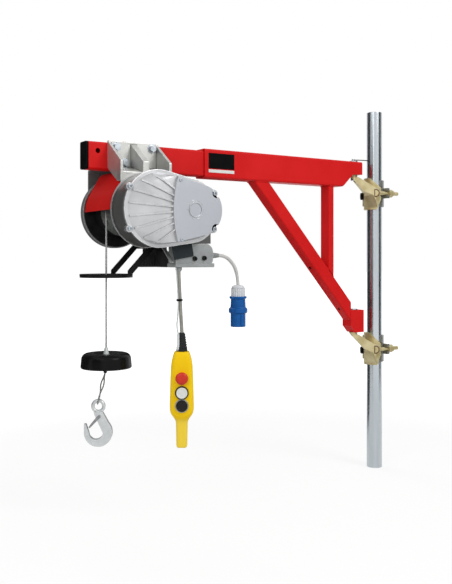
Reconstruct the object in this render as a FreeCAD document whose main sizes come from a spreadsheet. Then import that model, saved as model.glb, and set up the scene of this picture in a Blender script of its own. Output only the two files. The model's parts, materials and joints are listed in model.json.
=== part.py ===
import FreeCAD, Part
import math
import os
import re
import Sketcher

doc = FreeCAD.newDocument("ScaffoldHoist")
sheet = doc.addObject("Spreadsheet::Sheet", "sizes")

# Driving sizes in millimetres and degrees. The tube's axis is Z, the arm runs towards -X, the front is -Y.
SIZES = {
    # Scaffold tube
    "post_diameter": 48.3,
    "post_wall": 3.2,
    "post_height": 1133,
    # Couplers on the tube
    "upper_coupler_height": 873,
    "coupler_spacing": 493,
    "clamp_gap": 0.1,
    "clamp_wall": 9,
    "clamp_rise": 49,
    "clamp_drop": 51,
    "clamp_split": 4,
    "flap_wall": 6,
    "flap_half_height": 42,
    "ear_rise": 55,
    "ear_height": 36,
    "ear_radius": 13,
    "wing_half_width": 9,
    "wing_below_ear": 7,
    "wing_elbow_reach": 46,
    "wing_elbow_drop": 8,
    "wing_foot": 44,
    "eye_bolt_offset": 15.75,
    "eye_bolt_back": 31,
    "eye_bolt_diameter": 12,
    "eye_bolt_reach": 61,
    "eye_radius": 9,
    "eye_height": 15,
    "eye_room": 1.5,
    "eye_pin_diameter": 8,
    "cheek_gap": 0.5,
    "cheek_thickness": 8,
    "fork_thickness": 10,
    "fork_start": 6,
    "fork_half_height": 16,
    "fork_slot": 14,
    "washer_thickness": 3,
    "washer_rim": 1.5,
    "nut_across_corners": 25,
    "nut_height": 18,
    "knuckle_radius": 8,
    "knuckle_room": 0.75,
    "knuckle_height": 25,
    "knuckle_gap": 0.3,
    # Swing pivot
    "pivot_reach": 90,
    "pivot_pin_diameter": 16,
    "pin_clearance": 0.05,
    "seat_gap": 0.3,
    "pin_tail": 8,
    "pin_head_radius": 14,
    "pin_head_height": 6,
    "pin_top": 18,
    "bush_width": 53,
    "bush_depth": 40,
    "bush_height": 70,
    # Jib
    "outer_height": 80,
    "outer_depth": 50,
    "outer_wall": 4,
    "outer_corner": 6,
    "outer_far": 650,
    "tongue_front": 16,
    "tongue_tail": 22,
    "tongue_height": 40,
    "corner_run": 41,
    "brace_top_reach": 429,
    "brace_foot_run": 4,
    "brace_foot_rise": 73,
    "brace_side": 40,
    "brace_wall": 3,
    "brace_corner": 5,
    "strut_reach": 206,
    "strut_width": 20,
    "strut_wall": 2.5,
    "strut_corner": 3,
    # Telescopic arm
    "inner_wall": 3,
    "inner_corner": 5,
    "inner_far": 987,
    "inner_length": 660,
    "slide_gap": 0.3,
    "slide_top_gap": 1.7,
    "slide_side_gap": 1,
    "cap_thickness": 7,
    "cap_plug": 12,
    "cap_gap": 0.2,
    "arm_hole_diameter": 13,
    "arm_hole_inset": 25,
    "arm_hole_drop": 23,
    # Drum, hung under the arm's end
    "drum_inset": 117,
    "drum_drop": 104.6,
    "drum_radius": 58,
    "drum_gap": 8,
    "drum_back": 75,
    "flange_radius": 93,
    "flange_thickness": 18,
    "flange_dish": 7,
    "flange_rim": 7,
    "shaft_diameter": 25,
    "shaft_front_length": 40,
    "shaft_back_length": 16,
    "rope_diameter": 5,
    # Gear housing, with its flat face behind the drum's front end
    "housing_back": 100,
    "housing_depth": 71,
    "housing_radius": 90,
    "lip_height": 4,
    "lip_depth": 6,
    "lobe_run": 85,
    "lobe_drop": 3,
    "lobe_radius": 75,
    # Ribbed gear cover
    "cover_lip": 5,
    "cover_flange": 8,
    "cover_rise": 49,
    "cover_inset": 3,
    "plate_left_run": 21,
    "plate_half_height": 78,
    "plate_lobe_radius": 62,
    "waist_rise": 24,
    "waist_run": 26,
    "waist_half_height": 81,
    "waist_spread": 5,
    "hub_run": 42,
    "hub_drop": 2,
    "rib_count": 8,
    "rib_first_angle": 127.5,
    "rib_pitch_angle": 15,
    "rib_blade": 3,
    "rib_end_height": 2,
    "boss_run": 11,
    "boss_radius": 19,
    "boss_wall": 3,
    "boss_height": 3,
    "lug_radius": 9,
    "lug_height": 12,
    "left_lug_run": 82,
    "left_lug_offset": 50,
    "right_lug_run": 67,
    "right_lug_offset": 44,
    # Hanger between the housing and the arm
    "hanger_left_run": 67,
    "hanger_right_run": 77,
    "hanger_middle_run": 5,
    "hanger_middle_rib": 17,
    "hanger_overlap": 4.5,
    "hanger_lift": 4.4,
    "hanger_plate": 8,
    "hanger_rib": 8,
    "rib_shoulder_rise": 122,
    "rib_foot_rise": 71,
    "rib_toe": 20,
    "web_rise": 88,
    "web_thickness": 7,
    # Rear bearing bracket
    "bracket_gap": 7,
    "bracket_plate": 6,
    "bracket_shoulder_rise": 112,
    "bracket_foot_drop": 40,
    "bracket_top_drop": 4.6,
    "bearing_radius": 24,
    "bearing_length": 9,
    # Drum guard
    "guard_inset": 3,
    "guard_sheet": 2,
    "guard_angle": 65,
    "guard_flange_gap": 6,
    # Boxes under the housing
    "box_left_run": 25,
    "box_width": 110,
    "box_inset": 10,
    "box_depth": 40,
    "box_drop": 5,
    "box_height": 60,
    "box_corner": 22,
    "foot_inset": 5,
    "plate_width": 56,
    "plate_height": 38,
    "plate_thickness": 5,
    "plate_run": 6.5,
    "plate_drop": 18,
    "plate_tilt": 10,
    "switch_run": 20,
    "switch_width": 73,
    "switch_half_depth": 42,
    "switch_depth": 20,
    "switch_height": 23,
    "relay_run": 12,
    "relay_width": 61,
    "relay_height": 67,
    "neck_width": 34,
    "neck_height": 40,
    "groove_count": 8,
    "groove_width": 4,
    "groove_depth": 2,
    "groove_height": 16,
    "groove_inset": 4,
    # Limit lever
    "lever_run": 24,
    "lever_rise": 52,
    "lever_pin_diameter": 8,
    "lever_bar": 8,
    "lever_bar_width": 13,
    "lever_side_gap": 5,
    "lever_foot_run": 62,
    "lever_foot_drop": 65,
    "ring_drop": 9,
    "ring_radius": 67.5,
    "ring_bore": 20,
    "ring_thickness": 9,
    # Rope end
    "weight_drop": 198,
    "weight_height": 38,
    "weight_radius": 65.5,
    "weight_top_radius": 61,
    "weight_foot": 4,
    "weight_shoulder": 14,
    "weight_dish": 5,
    "dish_radius": 14,
    "ferrule_radius": 7,
    "ferrule_tip_radius": 4,
    "ferrule_height": 14,
    "link_wire": 5,
    "link_gap": 0.8,
    "hook_eye_drop": 98,
    "hook_offset": 20,
    "hook_turn": 30,
    "hook_thickness": 15,
    "eye_ring_radius": 14,
    "eye_wire_radius": 4.5,
    "neck_half_width": 11,
    "bowl_drop": 67,
    "bowl_outer_radius": 36,
    "bowl_inner_radius": 17.5,
    "bowl_inner_offset": 6,
    "tip_drop": 45,
    "tip_width": 5,
    "hook_back_angle": 40,
    "throat_drop": 20,
    "throat_offset": 10,
    "latch_pin_diameter": 4,
    "latch_pin_drop": 24,
    "latch_pin_offset": 4,
    "latch_cheek": 2,
    "latch_width": 8,
    "latch_side_gap": 0.5,
    "latch_end_offset": 21,
    "latch_end_drop": 55,
    "tongue_start": 0.55,
    # Pendant control
    "gland_inset": 15,
    "gland_back": 12,
    "gland_radius": 8,
    "gland_height": 10,
    "pendant_shift": 9,
    "pendant_hang": 154,
    "cable_diameter": 9,
    "boot_height": 47,
    "boot_top_radius": 11,
    "boot_bottom_radius": 14,
    "pendant_width": 58,
    "pendant_depth": 46,
    "pendant_height": 241,
    "pendant_shoulder": 36,
    "pendant_top_width": 34,
    "pendant_neck": 15,
    "pendant_edge": 6,
    "grip_width": 29,
    "grip_length": 73,
    "pendant_turn": 30,
    "stop_drop": 64,
    "stop_radius": 16,
    "stop_head": 8,
    "stop_stem_radius": 9,
    "raise_pitch": 37,
    "lower_pitch": 32,
    "button_radius": 14,
    "button_stand": 8,
    "button_depth": 6,
    "button_well": 12,
    "button_gap": 0.3,
    # Power inlet
    "inlet_radius": 9,
    "inlet_length": 12,
    "inlet_back": 20,
    "inlet_rise": 30,
    "power_cable_diameter": 9,
    "lead_rise_run": 26,
    "lead_rise_drop": -1.5,
    "lead_crest_run": 52,
    "lead_crest_drop": 11,
    "lead_fall_run": 74,
    "lead_fall_drop": 41,
    "plug_run": 77,
    "plug_drop": 78,
    "plug_nut_radius": 18.5,
    "plug_nut_height": 30,
    "plug_radius": 21,
    "plug_height": 80,
    "plug_rim_radius": 23,
    "plug_rim_height": 5,
    "plug_collar_radius": 25,
    "plug_collar_height": 12,
    "plug_collar_drop": 30,
}

# Places and sizes that follow from the driving ones
DERIVED = {
    "clamp_bore": "post_diameter / 2 + clamp_gap",
    "clamp_radius": "clamp_bore + clamp_wall",
    "pin_bore": "pivot_pin_diameter / 2 + pin_clearance",
    "eye_bolt_side": "clamp_bore + eye_bolt_offset",
    "knuckle_side": "clamp_radius + knuckle_radius + knuckle_room",
    "cheek_top": "eye_height / 2 + cheek_gap + cheek_thickness",
    "lower_coupler_height": "upper_coupler_height - coupler_spacing",
    "ear_top": "upper_coupler_height + ear_rise",
    "lower_ear_top": "lower_coupler_height + ear_rise",
    "bush_low": "lower_ear_top + seat_gap",
    "tongue_end": "pivot_reach - tongue_front",
    "tongue_back": "pivot_reach + tongue_tail",
    "arm_middle": "ear_top + seat_gap",
    "arm_top": "arm_middle + tongue_height",
    "arm_bottom": "arm_top - outer_height",
    "inner_height": "outer_height - 2 * outer_wall - slide_gap - slide_top_gap",
    "inner_depth": "outer_depth - 2 * outer_wall - 2 * slide_side_gap",
    "inner_bottom": "arm_bottom + outer_wall + slide_gap",
    "inner_top": "inner_bottom + inner_height",
    "brace_foot_reach": "pivot_reach + brace_foot_run",
    "brace_foot_height": "lower_ear_top + brace_foot_rise",
    "brace_slope": "(arm_bottom - brace_foot_height) / (brace_top_reach - brace_foot_reach)",
    "brace_span": "brace_side * sqrt(1 + brace_slope^2) / brace_slope",
    "drum_reach": "inner_far - drum_inset",
    "drum_height": "inner_bottom - drum_drop",
    "drum_front": "housing_back - drum_gap",
    "rope_reach": "drum_reach + drum_radius + rope_diameter / 2",
    "lobe_reach": "drum_reach - lobe_run",
    "lobe_height": "drum_height - lobe_drop",
    "housing_front": "housing_back + housing_depth",
    "rim_radius": "housing_radius - cover_inset",
    "plate_left": "drum_reach - plate_left_run",
    "hub_reach": "drum_reach - hub_run",
    "hub_height": "drum_height - hub_drop",
    "hanger_left": "drum_reach + hanger_left_run",
    "hanger_right": "drum_reach - hanger_right_run",
    "hanger_top": "inner_top + hanger_overlap",
    "hanger_bottom": "inner_bottom + hanger_lift",
    "rib_shoulder": "drum_height + rib_shoulder_rise",
    "rib_foot": "drum_height + rib_foot_rise",
    "web_foot": "drum_height + web_rise",
    "bracket_face": "drum_back + flange_thickness + bracket_gap",
    "bracket_shoulder": "drum_height + bracket_shoulder_rise",
    "bracket_foot": "drum_height - bracket_foot_drop",
    "bracket_top": "inner_top - bracket_top_drop",
    "guard_radius": "flange_radius - guard_inset",
    "box_left": "lobe_reach + box_left_run",
    "box_right": "box_left - box_width",
    "box_back": "housing_back + box_inset",
    "box_front": "box_back + box_depth",
    "box_top": "lobe_height - lobe_radius - box_drop",
    "box_bottom": "box_top - box_height",
    "switch_left": "drum_reach - switch_run",
    "lever_reach": "switch_left - lever_run",
    "lever_height": "box_bottom + lever_rise",
    "lever_side": "switch_half_depth + lever_side_gap",
    "lever_foot_reach": "lever_reach + lever_foot_run",
    "lever_foot_height": "lever_height - lever_foot_drop",
    "ring_height": "lever_foot_height - ring_drop",
    "weight_top": "ring_height - weight_drop",
    "weight_bottom": "weight_top - weight_height",
    "hook_eye_height": "weight_bottom - hook_eye_drop",
    "gland_reach": "box_left - gland_inset",
    "gland_front": "box_front - gland_back",
    "pendant_reach": "gland_reach - pendant_shift",
    "boot_top": "box_bottom - gland_height - pendant_hang",
    "boot_bottom": "boot_top - boot_height",
    "stop_height": "boot_bottom - stop_drop",
    "raise_height": "stop_height - raise_pitch",
    "lower_height": "raise_height - lower_pitch",
    "inlet_front": "box_front - inlet_back",
    "inlet_height": "box_bottom + inlet_rise",
    "lead_start": "box_right - inlet_length",
    "plug_top": "inlet_height - plug_drop",
    "plug_bottom": "plug_top - plug_nut_height - plug_height",
}

SIZE_WORD = re.compile(r"[a-z]+(?:_[a-z]+)*")
ALONG = {
    "X": FreeCAD.Rotation(FreeCAD.Vector(0, 1, 0), 90),
    "Y": FreeCAD.Rotation(FreeCAD.Vector(1, 0, 0), -90),
    "Z": FreeCAD.Rotation(),
}
NORMAL = {"XY": "z", "XZ": "y", "YZ": "x"}
START, END, CENTRE = 1, 2, 3
TOUCH = 1e-6
nodes = []


def enter_sizes():
    for row, (name, size) in enumerate(SIZES.items(), start=1):
        sheet.set(f"A{row}", name)
        sheet.set(f"B{row}", str(size))
        sheet.setAlias(f"B{row}", name)
    doc.recompute()


def sized(text):
    """Turn the size names in a formula into references to the sheet."""
    def reference(word):
        name = word[0]
        if name in DERIVED:
            return f"({sized(DERIVED[name])})"
        return f"sizes.{name}" if name in SIZES else name

    return SIZE_WORD.sub(reference, text)


def value(text):
    return float(sheet.evalExpression(sized(text)))


def bind(item, **formulas):
    for name, text in formulas.items():
        item.setExpression(name, sized(text))


def place(item, spot, turn=None):
    if turn:
        item.Placement = FreeCAD.Placement(FreeCAD.Vector(), turn)
    for letter, text in zip("xyz", spot):
        item.setExpression("Placement.Base." + letter, sized(text))


def box(spot, size):
    item = doc.addObject("Part::Box", "Block")
    bind(item, Length=size[0], Width=size[1], Height=size[2])
    place(item, spot)
    return item


def cylinder(spot, radius, length, axis="Z"):
    item = doc.addObject("Part::Cylinder", "Round")
    bind(item, Radius=radius, Height=length)
    place(item, spot, ALONG[axis])
    return item


def cone(spot, radius_low, radius_high, length, axis="Z"):
    item = doc.addObject("Part::Cone", "Taper")
    bind(item, Radius1=radius_low, Radius2=radius_high, Height=length)
    place(item, spot, ALONG[axis])
    return item


def fuse(*items):
    item = doc.addObject("Part::MultiFuse", "Joined")
    item.Shapes = list(items)
    item.Refine = True
    return item


def cut(base, *tools):
    item = doc.addObject("Part::Cut", "Trimmed")
    item.Base = base
    item.Tool = tools[0] if len(tools) == 1 else fuse(*tools)
    item.Refine = True
    return item


def common(*items):
    item = doc.addObject("Part::MultiCommon", "Shared")
    item.Shapes = list(items)
    return item


def runs_along(direction):
    """A test for straight edges that lie along a direction."""
    def test(edge):
        straight = edge.Curve.TypeId == "Part::GeomLine"
        return straight and edge.tangentAt(edge.FirstParameter).cross(direction).Length < TOUCH

    return test


def round_edges(base, radius, chosen):
    """Round the edges of an item that a test picks."""
    doc.recompute()
    size = value(radius)
    item = doc.addObject("Part::Fillet", "Rounded")
    item.Base = base
    item.Edges = [(index, size, size) for index, edge in enumerate(base.Shape.Edges,
                                                                   start=1) if chosen(edge)]
    return item


def node(item, label):
    item.Label = label
    nodes.append(item)
    return item


def new_sketch(body, plane, offset=None):
    sketch = body.newObject("Sketcher::SketchObject", "Outline")
    support = next(item for item in body.Origin.OriginFeatures if item.Role == plane + "_Plane")
    sketch.AttachmentSupport = [(support, "")]
    sketch.MapMode = "FlatFace"
    if offset:
        sketch.setExpression("AttachmentOffset.Base.z", sized(offset))
    return sketch


def fix_coordinate(sketch, geometry, point, axis, spot):
    kind = ("DistanceX", "DistanceY")[axis]
    index = sketch.addConstraint(Sketcher.Constraint(kind, geometry, point, value(spot[axis])))
    sketch.setExpression(f"Constraints[{index}]", sized(spot[axis]))


def fix_point(sketch, geometry, point, spot):
    for axis in (0, 1):
        fix_coordinate(sketch, geometry, point, axis, spot)


def fix_radius(sketch, geometry, text):
    index = sketch.addConstraint(Sketcher.Constraint("Radius", geometry, value(text)))
    sketch.setExpression(f"Constraints[{index}]", sized(text))


def arc_between(start, end, centre, turn):
    """The arc about a centre from start to end, anticlockwise for a turn of 1 and clockwise for -1."""
    first, last = (start, end) if turn > 0 else (end, start)
    angles = [math.atan2(point.y - centre.y, point.x - centre.x) for point in (first, last)]
    sweep = (angles[1] - angles[0]) % (2 * math.pi)
    circle = Part.Circle(centre, FreeCAD.Vector(0, 0, 1), (start - centre).Length)
    return Part.ArcOfCircle(circle, angles[0], angles[0] + sweep)


def draw_corners(sketch, corners):
    """A closed outline through corners given as formulas, with an arc after each that names a centre."""
    points = [FreeCAD.Vector(value(corner[0]), value(corner[1]), 0) for corner in corners]
    count = len(points)
    starts, ends = [START] * count, [END] * count
    for index, corner in enumerate(corners):
        following = points[(index + 1) % count]
        if len(corner) == 2:
            sketch.addGeometry(Part.LineSegment(points[index], following))
            continue
        across, up, turn = corner[2:]
        centre = FreeCAD.Vector(value(across), value(up), 0)
        sketch.addGeometry(arc_between(points[index], following, centre, turn))
        if turn < 0:
            starts[index], ends[index] = END, START
    for index in range(count):
        after = (index + 1) % count
        sketch.addConstraint(Sketcher.Constraint("Coincident", index, ends[index], after, starts[after]))
    for index, corner in enumerate(corners):
        fix_point(sketch, index, starts[index], corner[:2])
        if len(corner) > 2:
            chord = points[(index + 1) % count] - points[index]
            fix_coordinate(sketch, index, CENTRE, 1 if abs(chord.x) > abs(chord.y) else 0, corner[2:4])


def draw_circles(sketch, circles):
    for index, (across, up, radius) in enumerate(circles):
        centre = FreeCAD.Vector(value(across), value(up), 0)
        sketch.addGeometry(Part.Circle(centre, FreeCAD.Vector(0, 0, 1), value(radius)))
        fix_point(sketch, index, CENTRE, (across, up))
        fix_radius(sketch, index, radius)


def draw_pear(sketch, left, right):
    """Two circles, each across, up and radius, joined by their outer tangents."""
    (left_x, left_y, left_radius), (right_x, right_y, right_radius) = [
        [value(text) for text in circle] for circle in (left, right)]
    reach = math.hypot(right_x - left_x, right_y - left_y)
    lean = math.atan2(right_y - left_y, right_x - left_x)
    spread = math.acos((left_radius - right_radius) / reach)
    up = FreeCAD.Vector(0, 0, 1)
    circles = [Part.Circle(FreeCAD.Vector(left_x, left_y, 0), up, left_radius),
               Part.Circle(FreeCAD.Vector(right_x, right_y, 0), up, right_radius)]
    left_arc = Part.ArcOfCircle(circles[0], lean + spread, lean - spread + 2 * math.pi)
    right_arc = Part.ArcOfCircle(circles[1], lean - spread, lean + spread)
    sketch.addGeometry(left_arc)
    sketch.addGeometry(Part.LineSegment(left_arc.EndPoint, right_arc.StartPoint))
    sketch.addGeometry(right_arc)
    sketch.addGeometry(Part.LineSegment(right_arc.EndPoint, left_arc.StartPoint))
    for index in range(4):
        sketch.addConstraint(Sketcher.Constraint("Tangent", index, END, (index + 1) % 4, START))
    for index, circle in ((0, left), (2, right)):
        fix_point(sketch, index, CENTRE, circle[:2])
        fix_radius(sketch, index, circle[2])


def draw_plate(sketch, chord, right):
    """An upright edge, across, bottom and top, joined by tangents to a circle on its right."""
    across, bottom, top = [value(text) for text in chord]
    right_x, right_y, radius = [value(text) for text in right]
    circle = Part.Circle(FreeCAD.Vector(right_x, right_y, 0), FreeCAD.Vector(0, 0, 1), radius)

    def touch(corner_y, side):
        reach = math.hypot(across - right_x, corner_y - right_y)
        return math.atan2(corner_y - right_y, across - right_x) + side * math.acos(radius / reach)

    arc = Part.ArcOfCircle(circle, touch(bottom, 1), touch(top, -1) + 2 * math.pi)
    top_corner = FreeCAD.Vector(across, top, 0)
    bottom_corner = FreeCAD.Vector(across, bottom, 0)
    sketch.addGeometry(Part.LineSegment(top_corner, bottom_corner))
    sketch.addGeometry(Part.LineSegment(bottom_corner, arc.StartPoint))
    sketch.addGeometry(arc)
    sketch.addGeometry(Part.LineSegment(arc.EndPoint, top_corner))
    for index, kind in enumerate(("Coincident", "Tangent", "Tangent", "Coincident")):
        sketch.addConstraint(Sketcher.Constraint(kind, index, END, (index + 1) % 4, START))
    fix_point(sketch, 0, START, (chord[0], chord[2]))
    fix_point(sketch, 0, END, (chord[0], chord[1]))
    fix_point(sketch, 2, CENTRE, right[:2])
    fix_radius(sketch, 2, right[2])


def pad(body, sketch, length, back=False):
    feature = body.newObject("PartDesign::Pad", "Pad")
    feature.Profile = sketch
    bind(feature, Length=length)
    feature.Reversed = back
    return feature


def prism(plane, corners, low, length):
    """An outline in one plane, drawn out from low along that plane's normal axis."""
    body = doc.addObject("PartDesign::Body", "Body")
    sketch = new_sketch(body, plane)
    draw_corners(sketch, corners)
    pad(body, sketch, length, back=plane == "XZ")
    body.setExpression("Placement.Base." + NORMAL[plane], sized(low))
    return body


def standing(corners, depth):
    """An upright outline about its own origin, drawn out equally to its front and back."""
    body = doc.addObject("PartDesign::Body", "Body")
    sketch = new_sketch(body, "XZ")
    draw_corners(sketch, corners)
    pad(body, sketch, depth).SideType = "Symmetric"
    return body


def turn_to(item, spot, forward, turn, across="0"):
    """Move an item across and forward from a spot in a frame turned about Z, and turn it with that frame."""
    angle = f"({turn} * 1deg)"
    rotation = FreeCAD.Rotation(FreeCAD.Vector(0, 0, 1), -value(turn)).multiply(item.Placement.Rotation)
    place(item, (f"{spot[0]} + ({across}) * cos({angle}) - ({forward}) * sin({angle})",
                 f"{spot[1]} - ({across}) * sin({angle}) - ({forward}) * cos({angle})", spot[2]), rotation)
    return item


def spun(corners, spot):
    """An outline beside an upright axis, turned once round it."""
    body = doc.addObject("PartDesign::Body", "Body")
    sketch = new_sketch(body, "XZ")
    draw_corners(sketch, corners)
    turned = body.newObject("PartDesign::Revolution", "Turned")
    turned.Profile = sketch
    turned.ReferenceAxis = (sketch, ["V_Axis"])
    place(body, spot)
    return body


def scaffold_tube():
    outer = cylinder(("0", "0", "0"), "post_diameter / 2", "post_height")
    bore = cylinder(("0", "0", "0"), "post_diameter / 2 - post_wall", "post_height")
    node(cut(outer, bore), "scaffold_tube")


def half_ring(low, high, radius, toward_arm):
    """Half of a sleeve round the tube, open along the split."""
    item = cylinder(("0", "0", low), radius, f"{high} - {low}")
    side = "-clamp_split / 2" if toward_arm else f"-{radius} - clamp_split / 2"
    split = box((side, f"-{radius}", low), (f"{radius} + clamp_split", f"2 * {radius}", f"{high} - {low}"))
    return cut(item, split)


def coupler_wing(level, ear_low):
    """The web from the ear to the eye bolt's lug, between its outlines from above and from the front."""
    outer, inner = "-pivot_reach - ear_radius / 2", "-clamp_bore - clamp_wall / 2"
    lug_left, lug_right = "-eye_bolt_back - eye_radius", "-eye_bolt_back + eye_radius"
    lug_front = "-eye_bolt_side - eye_radius"
    top, foot = f"({level} + ear_rise - wing_below_ear)", f"({level} - wing_foot)"
    plan = prism("XY", [(outer, "wing_half_width"), (outer, "-wing_half_width"), (lug_left, lug_front),
                        (lug_right, lug_front), (lug_right, "-clamp_bore / 2"), (inner, "wing_half_width")],
                 foot, f"{top} - {foot}")
    front = prism("XZ", [(outer, ear_low), (outer, top), ("-pivot_reach + ear_radius / 2", top),
                         (lug_left, f"{level} + cheek_top"), (lug_right, f"{level} + cheek_top"),
                         (lug_right, f"{level} - cheek_top"), (inner, foot), ("-clamp_radius", foot),
                         ("-wing_elbow_reach", f"{level} - wing_elbow_drop")],
                  lug_front, "eye_bolt_side + eye_radius + wing_half_width")
    return common(plan, front)


def coupler(level, prefix):
    low, high = f"({level} - clamp_drop)", f"({level} + clamp_rise)"
    ear_low = f"({level} + ear_rise - ear_height)"
    sleeve = half_ring(low, high, "clamp_radius", True)
    ear = cylinder(("-pivot_reach", "0", ear_low), "ear_radius", "ear_height")
    knuckles = []
    for knuckle_base in (f"{level} + knuckle_height / 2 + knuckle_gap",
                         f"{level} - knuckle_height / 2 - knuckle_gap - knuckle_height"):
        knuckles.append(cylinder(("0", "knuckle_side", knuckle_base), "knuckle_radius", "knuckle_height"))
        knuckles.append(box(("-knuckle_radius - clamp_split", "clamp_bore + clamp_wall / 2", knuckle_base),
                            ("knuckle_radius + clamp_split", "knuckle_side - clamp_bore - clamp_wall / 2",
                             "knuckle_height")))
    casting = fuse(sleeve, coupler_wing(level, ear_low), ear, *knuckles)
    bolt = ("-eye_bolt_back", "-eye_bolt_side")
    room_low, room_height = f"{level} - eye_height / 2 - cheek_gap", "eye_height + 2 * cheek_gap"
    rod_room = "(eye_bolt_diameter / 2 + eye_room)"
    bores = [cylinder(("0", "0", low), "clamp_bore", f"{high} - {low}"),
             cylinder(("-pivot_reach", "0", f"{ear_low} - ear_height"), "pin_bore", "3 * ear_height"),
             cylinder((*bolt, f"{level} - cheek_top"), "eye_pin_diameter / 2 + pin_clearance",
                      "2 * cheek_top"),
             cylinder((*bolt, room_low), "eye_radius + eye_room", room_height),
             box(("-eye_bolt_back", f"-eye_bolt_side - {rod_room}", room_low),
                 ("eye_radius + eye_room", f"2 * {rod_room}", room_height))]
    node(cut(casting, *bores), prefix + "_coupler")
    coupler_flap(level, prefix)
    coupler_bolt(level, prefix)


def coupler_flap(level, prefix):
    low, high = f"({level} - flap_half_height)", f"({level} + flap_half_height)"
    shell = half_ring(low, high, "(clamp_bore + flap_wall)", False)
    fork = box(("fork_start", "-eye_bolt_side - eye_bolt_diameter", f"{level} - fork_half_height"),
               ("fork_thickness", "eye_bolt_side + eye_bolt_diameter - clamp_bore / 2",
                "2 * fork_half_height"))
    knuckle = cylinder(("0", "knuckle_side", f"{level} - knuckle_height / 2"), "knuckle_radius",
                       "knuckle_height")
    strap = box(("0", "clamp_bore", f"{level} - knuckle_height / 2"),
                ("knuckle_radius", "knuckle_side - clamp_bore", "knuckle_height"))
    slot = box(("fork_start - fork_thickness", "-eye_bolt_side - 2 * eye_bolt_diameter",
                f"{level} - fork_slot / 2"),
               ("3 * fork_thickness", "2 * eye_bolt_diameter + fork_slot / 2", "fork_slot"))
    bore = cylinder(("0", "0", low), "clamp_bore", f"{high} - {low}")
    node(cut(fuse(shell, fork, knuckle, strap), slot, bore), prefix + "_coupler_flap")


def coupler_bolt(level, prefix):
    bolt = ("-eye_bolt_back", "-eye_bolt_side")
    eye = cylinder((*bolt, f"{level} - eye_height / 2"), "eye_radius", "eye_height")
    pin = cylinder((*bolt, f"{level} - cheek_top"), "eye_pin_diameter / 2", "2 * cheek_top")
    rod = cylinder((*bolt, level), "eye_bolt_diameter / 2", "eye_bolt_back + eye_bolt_reach", "X")
    washer = cylinder(("fork_start + fork_thickness", "-eye_bolt_side", level),
                      "nut_across_corners / 2 + washer_rim", "washer_thickness", "X")
    nut = doc.addObject("Part::Prism", "Hexagon")
    nut.Polygon = 6
    bind(nut, Circumradius="nut_across_corners / 2", Height="nut_height")
    place(nut, ("fork_start + fork_thickness + washer_thickness", "-eye_bolt_side", level), ALONG["X"])
    node(fuse(eye, pin, rod, washer, nut), prefix + "_coupler_bolt")


def outer_arm():
    bar = box(("-outer_far", "-outer_depth / 2", "arm_bottom"),
              ("outer_far - tongue_end", "outer_depth", "outer_height"))
    tube = round_edges(bar, "outer_corner", runs_along(FreeCAD.Vector(1, 0, 0)))
    hollow = box(("-outer_far", "-outer_depth / 2 + outer_wall", "arm_bottom + outer_wall"),
                 ("outer_far - tongue_end", "outer_depth - 2 * outer_wall",
                  "outer_height - 2 * outer_wall"))
    corner = prism("XZ", [("-tongue_back", "arm_middle"), ("-tongue_end + outer_wall", "arm_middle"),
                          ("-tongue_end + outer_wall", "arm_bottom - outer_wall"),
                          ("-tongue_back - corner_run", "arm_bottom - outer_wall"),
                          ("-tongue_back - corner_run", "arm_bottom")],
                   "-outer_depth / 2 - outer_wall", "outer_depth + 2 * outer_wall")
    block = box(("-tongue_back", "-outer_depth / 2 + outer_wall", "arm_middle"),
                ("tongue_back - tongue_end", "outer_depth - 2 * outer_wall", "tongue_height - outer_wall"))
    pin_hole = cylinder(("-pivot_reach", "0", "arm_middle"), "pin_bore", "tongue_height")
    node(cut(fuse(cut(tube, hollow, corner), block), pin_hole), "outer_arm")


def brace_height(reach):
    return f"(brace_foot_height + (({reach}) - brace_foot_reach) * brace_slope)"


def brace():
    wall_span = "(brace_span * brace_wall / brace_side)"
    foot = "-pivot_reach"
    outline = [("-brace_top_reach", "arm_bottom"), (foot, brace_height("pivot_reach")),
               (foot, brace_height("pivot_reach - brace_span")),
               ("-brace_top_reach - brace_span", "arm_bottom")]
    inner = [(f"-brace_top_reach - {wall_span}", "arm_bottom"),
             (foot, brace_height(f"pivot_reach - {wall_span}")),
             (foot, brace_height(f"pivot_reach - brace_span + {wall_span}")),
             (f"-brace_top_reach - brace_span + {wall_span}", "arm_bottom")]
    slope = FreeCAD.Vector(-1, 0, value("brace_slope")).normalize()
    tube = round_edges(prism("XZ", outline, "-brace_side / 2", "brace_side"), "brace_corner",
                       runs_along(slope))
    hollow = prism("XZ", inner, "-brace_side / 2 + brace_wall", "brace_side - 2 * brace_wall")
    bush_room = box(("-pivot_reach - bush_width / 2", "-bush_depth / 2", "lower_ear_top"),
                    ("bush_width", "bush_depth", "2 * bush_height"))
    node(cut(tube, hollow, bush_room), "brace")


def strut():
    right = "(strut_reach - strut_width)"
    outline = [("-strut_reach", "arm_bottom"), (f"-{right}", "arm_bottom"),
               (f"-{right}", brace_height(right)),
               ("-strut_reach", brace_height("strut_reach"))]
    tube = round_edges(prism("XZ", outline, "-brace_side / 2", "brace_side"), "strut_corner",
                       runs_along(FreeCAD.Vector(0, 0, 1)))
    hollow = box(("-strut_reach + strut_wall", "-brace_side / 2 + strut_wall", "brace_foot_height"),
                 ("strut_width - 2 * strut_wall", "brace_side - 2 * strut_wall",
                  "arm_bottom - brace_foot_height"))
    node(cut(tube, hollow), "strut")


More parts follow.
